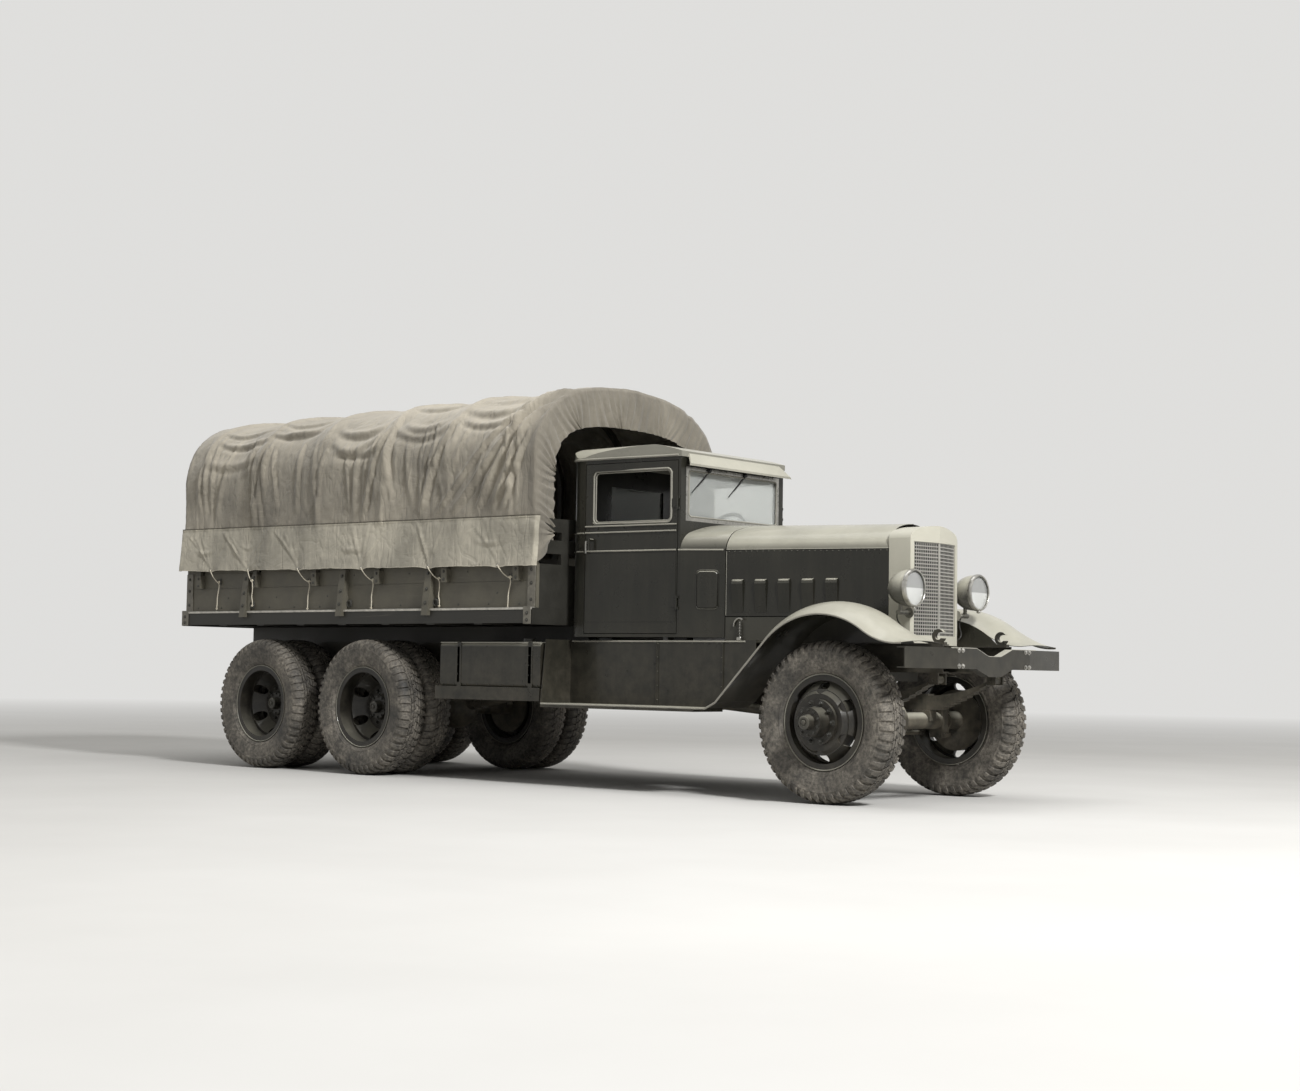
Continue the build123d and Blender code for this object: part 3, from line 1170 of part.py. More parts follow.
def cargo_side():
    """Left side: two planks, outer stakes, bow pockets and the slatted rack above."""
    inner, outer = BODY_HALF_WIDTH - SIDE_THICK, BODY_HALF_WIDTH
    rear, front = BODY_REAR_X + 2, BODY_FRONT_X - 2
    low = FLOOR_TOP + SEAT_GAP
    side = block(rear, front, inner, outer, low, PLANK_SEAM - 2)
    side += block(rear, front, inner, outer, PLANK_SEAM + 2, SIDE_TOP)
    side += block(rear, front, inner, outer - 4, PLANK_SEAM - 4, PLANK_SEAM + 4)
    edge = BODY_HALF_WIDTH + FLOOR_OVERHANG + SEAT_GAP
    for x in STAKES_X:
        side += plate_yz([(outer - 1, SIDE_TOP), (outer + 32, SIDE_TOP), (edge + 32, 1240),
                          (edge, 1240), (edge, low), (outer - 1, low)], x - 35, x + 35)
    for x in BOWS:
        post = block(x - 32, x + 32, inner, outer, SIDE_TOP - 1, RACK_TOP)
        pocket = block(x - BOW_WIDTH / 2 - 8, x + BOW_WIDTH / 2 + 8, outer - 1,
                       CANVAS_HALF_WIDTH - 6, BOW_FOOT - 12, SIDE_TOP - 18)
        pocket -= block(x - BOW_WIDTH / 2 - SEAT_GAP, x + BOW_WIDTH / 2 + SEAT_GAP,
                        BOW_OUTER - BOW_THICK - SEAT_GAP, BOW_OUTER + SEAT_GAP,
                        BOW_FOOT - SEAT_GAP, SIDE_TOP)
        side += post + pocket
    for z in (1690, 1850):
        side += block(rear, front, inner, inner + 22, z, z + 100)
    return side


def cargo_front_board():
    half = BODY_HALF_WIDTH - SIDE_THICK - SEAT_GAP
    front = BODY_FRONT_X - 2
    low = FLOOR_TOP + SEAT_GAP
    board = block(front - SIDE_THICK, front, -half, half, low, SIDE_TOP)
    for z in (1690, 1850):
        board += block(front - 22, front, -half, half, z, z + 100)
    for y in (-700, 0, 700):
        board += block(front - SIDE_THICK, front, y - 40, y + 40, SIDE_TOP - 1, RACK_TOP)
    return board


TAILGATE_AXIS = (BODY_REAR_X - 5, FLOOR_TOP - 6)


def tailgate():
    """Drop gate with two uprights, hinged at the floor's rear edge."""
    half = BODY_HALF_WIDTH - SIDE_THICK - DOOR_GAP
    gate = block(BODY_REAR_X, BODY_REAR_X + SIDE_THICK, -half, half, FLOOR_TOP + DOOR_GAP, SIDE_TOP - 2)
    x, z = TAILGATE_AXIS
    for y in (-600, 0, 600):
        gate += block(x - 4, BODY_REAR_X - SEAT_GAP, y - 35, y + 35, z, FLOOR_TOP + DOOR_GAP)
        gate += block(x - 4, BODY_REAR_X + 1, y - 35, y + 35, FLOOR_TOP + DOOR_GAP, SIDE_TOP - 30)
        gate += rod_y(x, y - 35, y + 35, z, 4.5)
    return gate


def arch(inset, foot):
    """Closed outline of the cover's cross section, inset evenly, down to a level."""
    half = CANVAS_HALF_WIDTH - inset
    top = CANVAS_TOP - inset
    shoulder = CANVAS_SHOULDER_Z
    corner_y = 620 - 0.3 * inset
    corner_z = top - 78
    side = Line((half, foot), (half, shoulder))
    turn = ThreePointArc((half, shoulder), (half - 118, shoulder + 322 - 0.6 * inset),
                         (corner_y, corner_z))
    crown = ThreePointArc((corner_y, corner_z), (0, top), (-corner_y, corner_z))
    mirrored = [mirror(turn, about=Plane.YZ), mirror(side, about=Plane.YZ)]
    edges = [side, turn, crown] + mirrored + [Line((-half, foot), (half, foot))]
    return Plane.YZ * outlined(*edges)


BOW_OUTER = CANVAS_HALF_WIDTH - CANVAS_THICK - 1


def canvas_bows():
    bows = []
    for x in BOWS:
        hoop = extrude(arch(CANVAS_THICK + 1, BOW_FOOT), BOW_WIDTH / 2, both=True)
        hoop -= extrude(arch(CANVAS_THICK + 1 + BOW_THICK, BOW_FOOT - 1), BOW_WIDTH, both=True)
        bows.append(Pos(x, 0, 0) * hoop)
    return bows


def canvas_cover():
    """Cover over the bows with a curtain at each end, drawn in round an arched opening."""
    front, rear = BODY_FRONT_X + 10, BODY_REAR_X - 10
    length = front - rear
    cover = Pos(rear, 0, 0) * extrude(arch(0, CANVAS_HEM), length)
    room = extrude(arch(CANVAS_THICK, CANVAS_HEM - 1), length - 2 * CANVAS_THICK)
    cover -= Pos(rear + CANVAS_THICK, 0, 0) * room
    half = CANVAS_HALF_WIDTH - CURTAIN_WIDTH
    top = CANVAS_TOP - CURTAIN_DEPTH
    mouth = outlined(
        Line((half, CANVAS_HEM - 5), (half, 2330)),
        ThreePointArc((half, 2330), (half - 110, 2545), (half - 330, top - 60)),
        ThreePointArc((half - 330, top - 60), (0, top), (-half + 330, top - 60)),
        ThreePointArc((-half + 330, top - 60), (-half + 110, 2545), (-half, 2330)),
        Line((-half, 2330), (-half, CANVAS_HEM - 5)),
        Line((-half, CANVAS_HEM - 5), (half, CANVAS_HEM - 5)),
    )
    return cover - (Pos(rear - 50, 0, 0) * extrude(Plane.YZ * mouth, length + 100))


def main():
    os.makedirs("parts", exist_ok=True)

    save("frame", *both_sides(frame_side()))
    save("frame_crossmembers", *frame_crossmembers())
    save("front_bumper", front_bumper())
    save("towing_gear", *towing_gear())
    save("leaf_springs", *both_sides(front_spring()), *both_sides(rear_spring()))
    save("front_axle", front_axle())
    save("rear_axles", *[rear_axle(x) for x in REAR_AXLES])
    save("engine_and_gearbox", engine_and_gearbox())
    save("transfer_case", transfer_case())
    save("propeller_shafts", *propeller_shafts())
    save("tie_rod", tie_rod())
    metal, rubber = front_wheel()
    for name, place in (("left", lambda shape: shape), ("right", other_side)):
        save(f"steering_knuckle_{name}", place(knuckle()))
        save(f"front_wheel_{name}", place(metal))
        save(f"front_tyre_{name}", place(rubber))
        save(f"door_{name}", place(door()))
        save(f"hood_top_{name}", place(hood_top()))
        save(f"hood_side_{name}", place(hood_side()))
    for axle_name, axle_x in zip(("middle", "rear"), REAR_AXLES):
        metal, tyres = rear_wheel(axle_x)
        for name, place in (("left", lambda shape: shape), ("right", other_side)):
            save(f"{axle_name}_wheel_{name}", place(metal))
            save(f"{axle_name}_tyres_{name}", *[place(rubber) for rubber in tyres])

    save("radiator_shell", radiator_shell())
    save("radiator_grille", radiator_grille())
    save("cowl", cowl())
    save("cab_body", cab_body())
    save("cab_roof", cab_roof())
    save("windshield_frame", windshield_frame())
    save("cab_glass", *cab_glass())
    save("seat_cushions", *seat())
    save("dashboard", dashboard())
    save("driver_controls", *driver_controls())
    save("steering_wheel", steering_wheel())

    save("front_fenders", *both_sides(front_fender()))
    save("running_boards", *both_sides(running_board()))
    save("fuel_tanks", *both_sides(fuel_tank()))
    save("headlights", *both_sides(headlight()))
    save("headlight_lenses", *both_sides(headlight_lens()))

    save("cargo_floor", cargo_floor())
    save("cargo_sides", *both_sides(cargo_side()))
    save("cargo_front_board", cargo_front_board())
    save("tailgate", tailgate())
    save("canvas_bows", *canvas_bows())
    save("canvas_cover", canvas_cover())


main()
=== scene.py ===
import json
from math import copysign, cos, hypot, pi, radians, sin, sqrt

import bpy
import numpy as np
from mathutils import Matrix, Vector, noise
from mathutils.bvhtree import BVHTree


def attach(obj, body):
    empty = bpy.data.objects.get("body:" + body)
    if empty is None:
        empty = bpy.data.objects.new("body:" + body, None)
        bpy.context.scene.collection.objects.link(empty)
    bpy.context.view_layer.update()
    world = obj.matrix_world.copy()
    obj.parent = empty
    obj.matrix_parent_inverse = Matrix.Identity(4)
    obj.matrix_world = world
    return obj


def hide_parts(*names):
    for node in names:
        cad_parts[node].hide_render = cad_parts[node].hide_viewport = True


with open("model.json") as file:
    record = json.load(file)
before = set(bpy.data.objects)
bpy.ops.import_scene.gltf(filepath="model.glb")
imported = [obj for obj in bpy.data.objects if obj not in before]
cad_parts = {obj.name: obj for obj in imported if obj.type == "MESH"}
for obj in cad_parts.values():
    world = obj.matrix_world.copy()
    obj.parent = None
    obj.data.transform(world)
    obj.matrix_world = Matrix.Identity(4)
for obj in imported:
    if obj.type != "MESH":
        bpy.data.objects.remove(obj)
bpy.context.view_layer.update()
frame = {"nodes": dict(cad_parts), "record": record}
NODES = frame["nodes"]
SIDES = ((1, "left"), (-1, "right"))

# How far the row's origin lies behind the front axle, the zero of all places below
X0 = 2.974


# Materials

class Net:
    """The shader nodes of one tree."""

    def __init__(self, tree):
        self.tree = tree
        self.coord = self.add("ShaderNodeTexCoord").outputs["Object"]

    def put(self, socket, value):
        """Link an output to a socket, or set a number or a colour on it."""
        if hasattr(value, "is_linked"):
            self.tree.links.new(value, socket)
        elif isinstance(value, tuple):
            socket.default_value = (*value, 1)[:len(socket.default_value)]
        else:
            socket.default_value = value

    def add(self, kind, inputs=(), **settings):
        node = self.tree.nodes.new(kind)
        for key, value in settings.items():
            setattr(node, key, value)
        for key, value in dict(inputs).items():
            self.put(node.inputs[key], value)
        return node

    def scaled(self, *scale):
        return self.add("ShaderNodeMapping", {"Vector": self.coord, "Scale": scale}).outputs[0]

    def noise(self, scale, detail=4, rough=0.55, vector=None, distortion=0.0):
        inputs = {"Vector": vector or self.coord, "Scale": scale, "Detail": detail, "Roughness": rough,
                  "Distortion": distortion}
        return self.add("ShaderNodeTexNoise", inputs).outputs["Fac"]

    def ramp(self, value, low, high, a=0.0, b=1.0):
        return self.add("ShaderNodeMapRange", {"Value": value, 1: low, 2: high, 3: a, 4: b}).outputs[0]

    def math(self, operation, *values):
        return self.add("ShaderNodeMath", enumerate(values), operation=operation).outputs[0]

    def times(self, a, b):
        return self.math("MULTIPLY", a, b)

    def plus(self, a, b):
        return self.math("ADD", a, b)

    def mix(self, share, a, b):
        return self.add("ShaderNodeMix", {0: share, 6: a, 7: b}, data_type="RGBA").outputs[2]

    def tint(self, share, colour, dark, light):
        """A colour between two shades of itself."""
        return self.mix(share, shade(colour, dark), shade(colour, light))

    def blend(self, share, a, b):
        return self.add("ShaderNodeMixShader", {0: share, 1: a, 2: b}).outputs[0]

    def part(self, vector, axis):
        return self.add("ShaderNodeSeparateXYZ", {0: vector}).outputs[axis]

    def up(self, low=0.15, high=0.9):
        """1 on faces that look up, 0 on walls and undersides."""
        normal = self.add("ShaderNodeNewGeometry").outputs["Normal"]
        return self.ramp(self.part(normal, "Z"), low, high)

    def seen_on(self, *kinds):
        """1 on rays from the eye and on the kinds named."""
        ray = self.add("ShaderNodeLightPath")
        value = ray.outputs["Is Camera Ray"]
        for kind in kinds:
            value = self.math("MAXIMUM", value, ray.outputs[kind])
        return value

    def surface(self, inputs):
        """What the shader takes."""
        for key, value in inputs.items():
            self.put(self.shader.inputs[key], value)

    def bump(self, height, strength, distance=0.001):
        """Relief, on top of any that the surface has."""
        normal = self.shader.inputs["Normal"]
        inputs = {"Height": height, "Strength": strength, "Distance": distance}
        if normal.is_linked:
            inputs["Normal"] = normal.links[0].from_socket
        self.put(normal, self.add("ShaderNodeBump", inputs).outputs[0])


def shade(colour, factor):
    return tuple(min(1, c * factor) for c in colour)


def new_material(name):
    m = bpy.data.materials.new(name)
    m.use_nodes = True
    m.node_tree.nodes.clear()
    n = Net(m.node_tree)
    n.shader = n.add("ShaderNodeBsdfPrincipled")
    n.out = n.add("ShaderNodeOutputMaterial", {0: n.shader.outputs[0]}).inputs[0]
    return m, n


# The second colour is the pale top layer: partly dust, partly painted reflection of the bright sky.
DUST, TOP_DUST_AND_SHEEN, PRIMER = (0.23, 0.20, 0.15), (0.47, 0.455, 0.375), (0.19, 0.17, 0.14)


def paint(name, colour, rough=(0.22, 0.42), coat=0.22, dusty=0.4, wear=0.4, film_and_sheen=0.85, reach=(0.12, 0.72)):
    """Enamel over steel: faint mottling, dust low down, a pale layer on what looks up that is partly dust and
    partly painted sky reflection, small chips.
    """
    m, n = new_material(name)
    mottled = n.tint(n.ramp(n.noise(1.7, 5), 0.35, 0.65), colour, 0.82, 1.22)
    low = n.ramp(n.part(n.coord, "Z"), 1.25, 0.35)
    streaks = n.ramp(n.noise(1, 6, 0.7, n.scaled(14, 14, 1.6)), 0.45, 0.8)
    grime = n.times(n.plus(n.times(low, 0.8), n.times(n.up(), 0.35)), n.ramp(n.noise(9, 6, 0.7), 0.3, 0.75))
    grime = n.times(n.plus(grime, n.times(streaks, 0.10)), dusty)
    chips = n.times(n.ramp(n.noise(60, 3, 0.6), 0.735, 0.75), n.ramp(n.noise(3.1, 3), 0.5, 0.62))
    patchy = n.ramp(n.noise(2.6, 6, 0.65), 0.25, 0.75, 0.7, 1.0)
    # Pale layer on faces that look up, running down the sides as far as reach lets it: partly dust, partly
    # painted sky reflection.
    settled_and_sheen = n.times(n.math("POWER", n.up(*reach), 1.3), patchy)
    dirty = n.mix(n.times(settled_and_sheen, film_and_sheen), n.mix(grime, mottled, DUST), TOP_DUST_AND_SHEEN)
    varied = n.ramp(n.noise(6, 6, 0.65), 0.3, 0.75, *rough)
    n.surface({"Base Color": n.mix(n.times(chips, wear), dirty, PRIMER),
               "Roughness": n.plus(varied, n.times(grime, 0.7)), "Specular IOR Level": 0.3,
               "Coat Weight": coat, "Coat Roughness": 0.10, "Coat IOR": 1.5})
    n.bump(n.noise(38, 2), 0.06, 0.002)
    return m


def plain(name, colour, rough=0.5, metallic=0.0, grain=40, bump=0.15, vary=0.25):
    """One even stuff with a fine grain."""
    m, n = new_material(name)
    f = n.noise(grain, 5, 0.6)
    n.surface({"Base Color": n.tint(n.ramp(f, 0.3, 0.7), colour, 1 - vary, 1 + vary), "Metallic": metallic,
               "Roughness": n.ramp(f, 0.2, 0.8, max(0.02, rough - 0.12), min(1, rough + 0.12))})
    n.bump(f, bump)
    return m


def timber(name, colour, light):
    """Painted boards: paint over long grain, rubbed through on the ridges."""
    m, n = new_material(name)
    grain = n.noise(1, 8, 0.65, n.scaled(2.2, 60, 60), 0.4)
    blotch = n.noise(5, 5, 0.6)
    rubbed = n.times(n.ramp(grain, 0.60, 0.72), n.ramp(n.noise(2.4, 4), 0.42, 0.66))
    painted = n.tint(n.ramp(blotch, 0.3, 0.7), colour, 0.8, 1.25)
    n.surface({"Base Color": n.mix(n.times(rubbed, 0.55), painted, light),
               "Roughness": n.ramp(blotch, 0.2, 0.8, 0.42, 0.62)})
    n.bump(grain, 0.35, 0.0015)
    return m


def rubber(name):
    m, n = new_material(name)
    fine = n.noise(45, 6, 0.65)
    dust = n.times(n.ramp(n.noise(5, 6, 0.7), 0.30, 0.70), n.ramp(fine, 0.25, 0.7))
    n.surface({"Base Color": n.mix(n.times(dust, 0.9), (0.020, 0.019, 0.017), (0.40, 0.36, 0.30)),
               "Roughness": n.ramp(dust, 0, 1, 0.62, 0.92)})
    n.bump(fine, 0.3, 0.0012)
    return m


def canvas_cloth(name, colour, shade_and_soot_from=None):
    """Heavy duck: plain weave, stains, runs, slubs, painted sunlight on what looks up, and sooty, painted
    shade ahead of one place.
    """
    m, n = new_material(name)
    yarn = {"Vector": n.coord, "Scale": 260, "Distortion": 1.2, "Detail": 1}
    warp, weft = (n.add("ShaderNodeTexWave", yarn, wave_type="BANDS", bands_direction=way) for way in "XZ")
    runs = n.noise(1, 6, 0.65, n.scaled(3.5, 3.5, 0.8))
    slub = n.noise(1, 3, 0.5, n.scaled(8, 8, 160))
    cloth = n.tint(n.ramp(n.noise(1.3, 7, 0.68, None, 0.6), 0.32, 0.68), colour, 0.50, 1.22)
    # Darker runs, lighter slubs, and painted sunlight that lightens what looks up.
    for share, factor in ((n.times(n.ramp(runs, 0.46, 0.72), 0.62), 0.36),
                          (n.times(n.ramp(slub, 0.55, 0.8), 0.18), 1.35),
                          (n.times(n.up(), 0.45), 1.55)):
        cloth = n.mix(share, cloth, shade(colour, factor))
    if shade_and_soot_from is not None:
        # Darker ahead of one place along the truck: painted shade over the front opening, with sooty grime.
        shade_and_soot = n.ramp(n.part(n.coord, "X"), shade_and_soot_from, shade_and_soot_from + 0.10, 0.0, 0.62)
        cloth = n.mix(shade_and_soot, cloth, shade(colour, 0.30))
    n.surface({"Base Color": cloth, "Roughness": 0.92, "Sheen Weight": 0.25, "Sheen Roughness": 0.5})
    n.bump(n.plus(warp.outputs["Fac"], weft.outputs["Fac"]), 0.10, 0.0008)
    n.bump(n.noise(26, 5, 0.6), 0.25, 0.004)
    for crease, width, strength in ((n.noise(4.2, 3, 0.5, None, 0.8), 0.09, 0.20),
                                    (n.noise(1, 3, 0.5, n.scaled(9, 5, 2.2), 0.6), 0.07, 0.32)):
        ridge = n.math("ABSOLUTE", n.math("SUBTRACT", crease, 0.5))
        n.bump(n.ramp(ridge, 0.0, width), strength, 0.010)
    return m


def leather(name, colour):
    m, n = new_material(name)
    cells = n.add("ShaderNodeTexVoronoi", {"Vector": n.coord, "Scale": 260}, feature="DISTANCE_TO_EDGE")
    wear = n.noise(7, 5, 0.6)
    n.surface({"Base Color": n.tint(n.ramp(wear, 0.4, 0.7), colour, 1, 2.2),
               "Roughness": n.ramp(wear, 0.3, 0.7, 0.35, 0.6)})
    n.bump(n.ramp(cells.outputs["Distance"], 0, 0.12), 0.35, 0.0008)
    return m


def glass(name, colour, rough=0.02, clear=1.0, split=None):
    """Filmed glass, darker above the height split."""
    m, n = new_material(name)
    if split:
        upper = n.ramp(n.part(n.coord, "Z"), split - 0.002, split + 0.002)
        colour = n.tint(upper, colour, 1, 0.55)
    n.surface({"Base Color": colour, "Roughness": n.ramp(n.noise(14, 5, 0.6), 0.45, 0.8, rough, rough + 0.16),
               "Transmission Weight": clear, "IOR": 1.5 if clear < 0.5 else 1.22})
    return m


OLIVE = (0.0165, 0.016, 0.012)
M = {
    "paint": paint("olive_enamel", OLIVE),
    # The roof's enamel is lighter, and its pale top layer runs down its sides: painted sky reflection over
    # dust.
    "roof": paint("roof_enamel_sheened", (0.10, 0.097, 0.085), film_and_sheen=0.95, reach=(-0.3, 0.3)),
    # Hood tops and fenders: the pale top layer is stronger and reaches nearer their edges, as painted sky
    # reflection over dust.
    "paint_sheened_top": paint("olive_enamel_sheened_tops", OLIVE, film_and_sheen=0.95, reach=(-0.05, 0.42)),
    "chassis": paint("chassis_enamel", (0.028, 0.027, 0.022), (0.4, 0.6), 0.1, 0.9),
    "grille": paint("grille_enamel", (0.34, 0.33, 0.30), (0.3, 0.5), 0.1, 0.2, film_and_sheen=0.5),
    "treadplate": paint("board_ribs", (0.05, 0.048, 0.04), dusty=0.6, film_and_sheen=0.6),
    "wheel": paint("wheel_enamel", (0.010, 0.0095, 0.008), (0.25, 0.4), dusty=0.22, film_and_sheen=0.2),
    # Lamp shells: a strong pale top layer reaching well down the bowls, painted sky reflection over dust.
    "lamp_shell": paint("lamp_enamel_sheened", (0.10, 0.098, 0.088), (0.2, 0.35), dusty=0.2, film_and_sheen=0.95,
                        reach=(-0.35, 0.4)),
    # Rim rings in a lighter enamel than the wheels: painted highlight on the flanges.
    "rim": paint("rim_ring_highlights", (0.17, 0.165, 0.14), (0.3, 0.5), 0.2, 0.3),
    "cap": paint("hub_caps", (0.035, 0.034, 0.028), (0.2, 0.35), dusty=0.25, film_and_sheen=0.4),
    # Lighter enamel for rolled edges, beads, seals and trims: rubbed wear, with painted highlight where their
    # rounded tops catch the sky.
    "edge": paint("rubbed_edges_and_highlights", (0.26, 0.25, 0.215), (0.25, 0.4), 0.3, 0.3),
    "bright": plain("worn_bright_steel", (0.42, 0.41, 0.38), 0.32, 1.0, 30, 0.05),
    "iron": plain("painted_castings", (0.06, 0.058, 0.05), 0.6, 0.2, 60, 0.3),
    "black": plain("control_enamel", (0.015, 0.015, 0.015), 0.3, 0.0, 20, 0.05),
    # Dark line along the skirts' top edges: painted shadow under the cloth above.
    "tape": plain("seam_painted_shadow", (0.075, 0.066, 0.05), 0.9, 0, 120, 0.3),
    "rope": plain("cotton_rope", (0.62, 0.57, 0.46), 0.9, 0, 300, 0.5, 0.2),
    "dial": plain("dial_card", (0.62, 0.60, 0.54), 0.6, 0, 20, 0.02, 0.08),
    "reflector": plain("lamp_reflector", (0.85, 0.85, 0.83), 0.12, 1.0, 10, 0.02),
    # Near black: print on the dials, and painted shade in the grille's slots and on the radiator core behind
    # them.
    "seam": plain("near_black_print_and_shade", (0.004, 0.004, 0.0035), 0.9, 0, 30, 0.1),
    "bolt": plain("painted_bolts", (0.030, 0.029, 0.024), 0.32, 0.1, 80, 0.1),
    "shell": plain("shell_plate", (0.49, 0.475, 0.40), 0.5, 0.0, 5, 0.0, 0.04),
    "strip": plain("edge_strip", (0.50, 0.48, 0.43), 0.4, 0.3, 30, 0.1),
    "stake": plain("stake_iron", (0.16, 0.15, 0.125), 0.5, 0.2, 30, 0.2),
    "hose": plain("armoured_lead", (0.03, 0.029, 0.026), 0.5, 0.3, 200, 0.4),
    "timber": timber("painted_boards", (0.100, 0.092, 0.070), (0.26, 0.23, 0.18)),
    # Near-black boards for the cargo floor's edge and the front board behind the cab: painted shade.
    "shaded_timber": timber("boards_in_painted_shade", (0.020, 0.019, 0.015), (0.10, 0.09, 0.07)),
    "bow": timber("painted_bows", (0.060, 0.055, 0.040), (0.22, 0.18, 0.12)),
    "tyre": rubber("dusty_rubber"),
    # The canvas darkens ahead of the first bow: painted shade with sooty grime.
    "canvas": canvas_cloth("duck_canvas", (0.37, 0.335, 0.27), X0 - 2.60),
    "skirt": canvas_cloth("duck_skirt", (0.48, 0.445, 0.36)),
    "leather": leather("black_leather", (0.028, 0.022, 0.018)),
    # Window glass is pale and only partly clear: painted reflection of the sky.
    "glass": glass("window_glass_painted_sky", (0.66, 0.68, 0.66), 0.03, 0.62),
    "lamp": glass("lamp_glass", (0.93, 0.94, 0.92), 0.06, 0.45, 1.412),
    "red": glass("tail_glass", (0.30, 0.012, 0.008), 0.08, 0.5),
    "bulb": glass("bulb_glass", (0.9, 0.9, 0.86), 0.2, 0.5),
}
# Looks worn in each slot, the CAD nodes' own look first
SLOT_LOOKS = {
    "paint": "paint edge rim cap treadplate", "tyre": "tyre", "canvas": "canvas skirt tape rope",
    "body_timber": "timber", "bow_timber": "bow", "leather": "leather", "glass": "glass",
    "lamp_glass": "lamp bulb red", "bright_trim": "bright reflector strip stake", "grille_steel": "grille",
    "chassis_black": "chassis", "cast_iron": "iron bolt", "control_black": "black dial seam hose",
}
# cargo_floor and cargo_front_board take the near-black boards, which are painted shade.
NODE_LOOKS = {"cargo_floor": "shaded_timber", "radiator_shell": "shell", "headlights": "lamp_shell",
              "cargo_front_board": "shaded_timber", "cab_roof": "roof", "hood_top_left": "paint_sheened_top",
              "hood_top_right": "paint_sheened_top", "front_fenders": "paint_sheened_top"}
for part in frame["record"]["subparts"]:
    node = part["node"]
    look = NODE_LOOKS.get(node, SLOT_LOOKS[part["material_slot"]].split()[0])
    if "_wheel_" in node:
        look = "wheel"
    NODES[node].data.materials.clear()
    NODES[node].data.materials.append(M[look])


# Stage, lights and camera

BACKDROP = (0.74, 0.735, 0.72)


def studio():
    """A pale floor that fades into the backdrop, and a sky that the eye, gloss and glass see plain."""
    bpy.ops.mesh.primitive_plane_add(size=160, location=(0, 0, 0))
    floor = bpy.context.object
    floor.name = "floor"
    m, n = new_material("floor_pale")
    cloudy = n.mix(n.ramp(n.noise(0.6, 4), 0.3, 0.7), (0.60, 0.592, 0.57), (0.64, 0.632, 0.61))
    n.surface({"Base Color": cloudy, "Roughness": 0.95, "Specular IOR Level": 0.1})
    away = n.add("ShaderNodeVectorMath", {0: n.coord}, operation="LENGTH").outputs["Value"]
    far = n.math("POWER", n.ramp(away, 9.0, 34.0), 0.8)
    haze = n.add("ShaderNodeEmission", {0: BACKDROP}).outputs[0]
    n.put(n.out, n.blend(n.times(n.seen_on("Is Transmission Ray"), far), n.shader.outputs[0], haze))
    floor.data.materials.append(m)

    world = bpy.data.worlds.new("studio")
    bpy.context.scene.world = world
    world.use_nodes = True
    world.node_tree.nodes.clear()
    n = Net(world.node_tree)
    sky = n.add("ShaderNodeValToRGB", {0: n.part(n.coord.node.outputs["Generated"], "Z")})
    stops = sky.color_ramp.elements
    stops[0].color = (0.10, 0.099, 0.096, 1)
    stops[1].color = (0.80, 0.79, 0.77, 1)
    stops.new(0.16).color = (0.17, 0.17, 0.166, 1)
    lit = n.add("ShaderNodeBackground", {0: sky.outputs[0], 1: 0.85}).outputs[0]
    seen = n.add("ShaderNodeBackground", {0: BACKDROP}).outputs[0]
    kinds = n.seen_on("Is Glossy Ray", "Is Transmission Ray")
    n.add("ShaderNodeOutputWorld", {0: n.blend(kinds, lit, seen)})


def new_object(name, data):
    o = bpy.data.objects.new(name, data)
    bpy.context.scene.collection.objects.link(o)
    return o


def area_light(name, place, target, size, power):
    light = bpy.data.lights.new(name, "AREA")
    light.shape = "RECTANGLE"
    light.size, light.size_y = size
    light.energy = power
    o = new_object(name, light)
    o.location = place
    o.rotation_euler = (Vector(target) - Vector(place)).to_track_quat("-Z", "Y").to_euler()


# The photo's camera: turn, tilt and roll, place from the front axle in metres, focal length in pixels
VIEW_TURN, VIEW_TILT, VIEW_ROLL = map(radians, (40.831, 3.685, 0.892))
VIEW_PLACE, VIEW_FOCAL, PHOTO_WIDTH, SENSOR = (7.477, -11.234, 0.837), 1963.5, 1300, 36


def camera():
    ahead = Vector((-sin(VIEW_TURN), cos(VIEW_TURN), 0))
    level = Vector((cos(VIEW_TURN), sin(VIEW_TURN), 0))
    up = Vector((0, 0, 1))
    d = ahead * cos(VIEW_TILT) + up * sin(VIEW_TILT)
    u = up * cos(VIEW_TILT) - ahead * sin(VIEW_TILT)
    right = level * cos(VIEW_ROLL) + u * sin(VIEW_ROLL)
    top = u * cos(VIEW_ROLL) - level * sin(VIEW_ROLL)
    data = bpy.data.cameras.new("view")
    data.sensor_width = SENSOR
    data.lens = VIEW_FOCAL * SENSOR / PHOTO_WIDTH
    data.clip_end = 200
    cam = new_object("view", data)
    m = Matrix((right, top, -d)).transposed().to_4x4()
    m.translation = Vector(VIEW_PLACE) + Vector((X0, 0, 0))
    cam.matrix_world = m
    bpy.context.scene.camera = cam


studio()
area_light("key", (15.5, -5.0, 12.0), (0.5, 0, 1.6), (2.6, 2.6), 3300)
area_light("top", (0.5, -0.5, 11.0), (0, 0, 1.5), (9, 4), 300)
camera()
bpy.context.scene.view_settings.view_transform = "Standard"


# Geometry helpers, in millimetres from the front axle

def P(x, y, z):
    """A place given from the front axle, in millimetres, as a point of the row in metres."""
    return Vector((x / 1000 + X0, y / 1000, z / 1000))


def each_side(build):
    """Makes a function of one side work on both sides of the truck."""
    def both():
        for side, name in SIDES:
            build(side, name)
    return both


def lerp(a, b, t):
    return a + (b - a) * t


def ease(a, b, t):
    t = np.clip((t - a) / (b - a), 0, 1)
    return t * t * (3 - 2 * t)


def turns(n):
    return [2 * pi * i / n for i in range(n)]


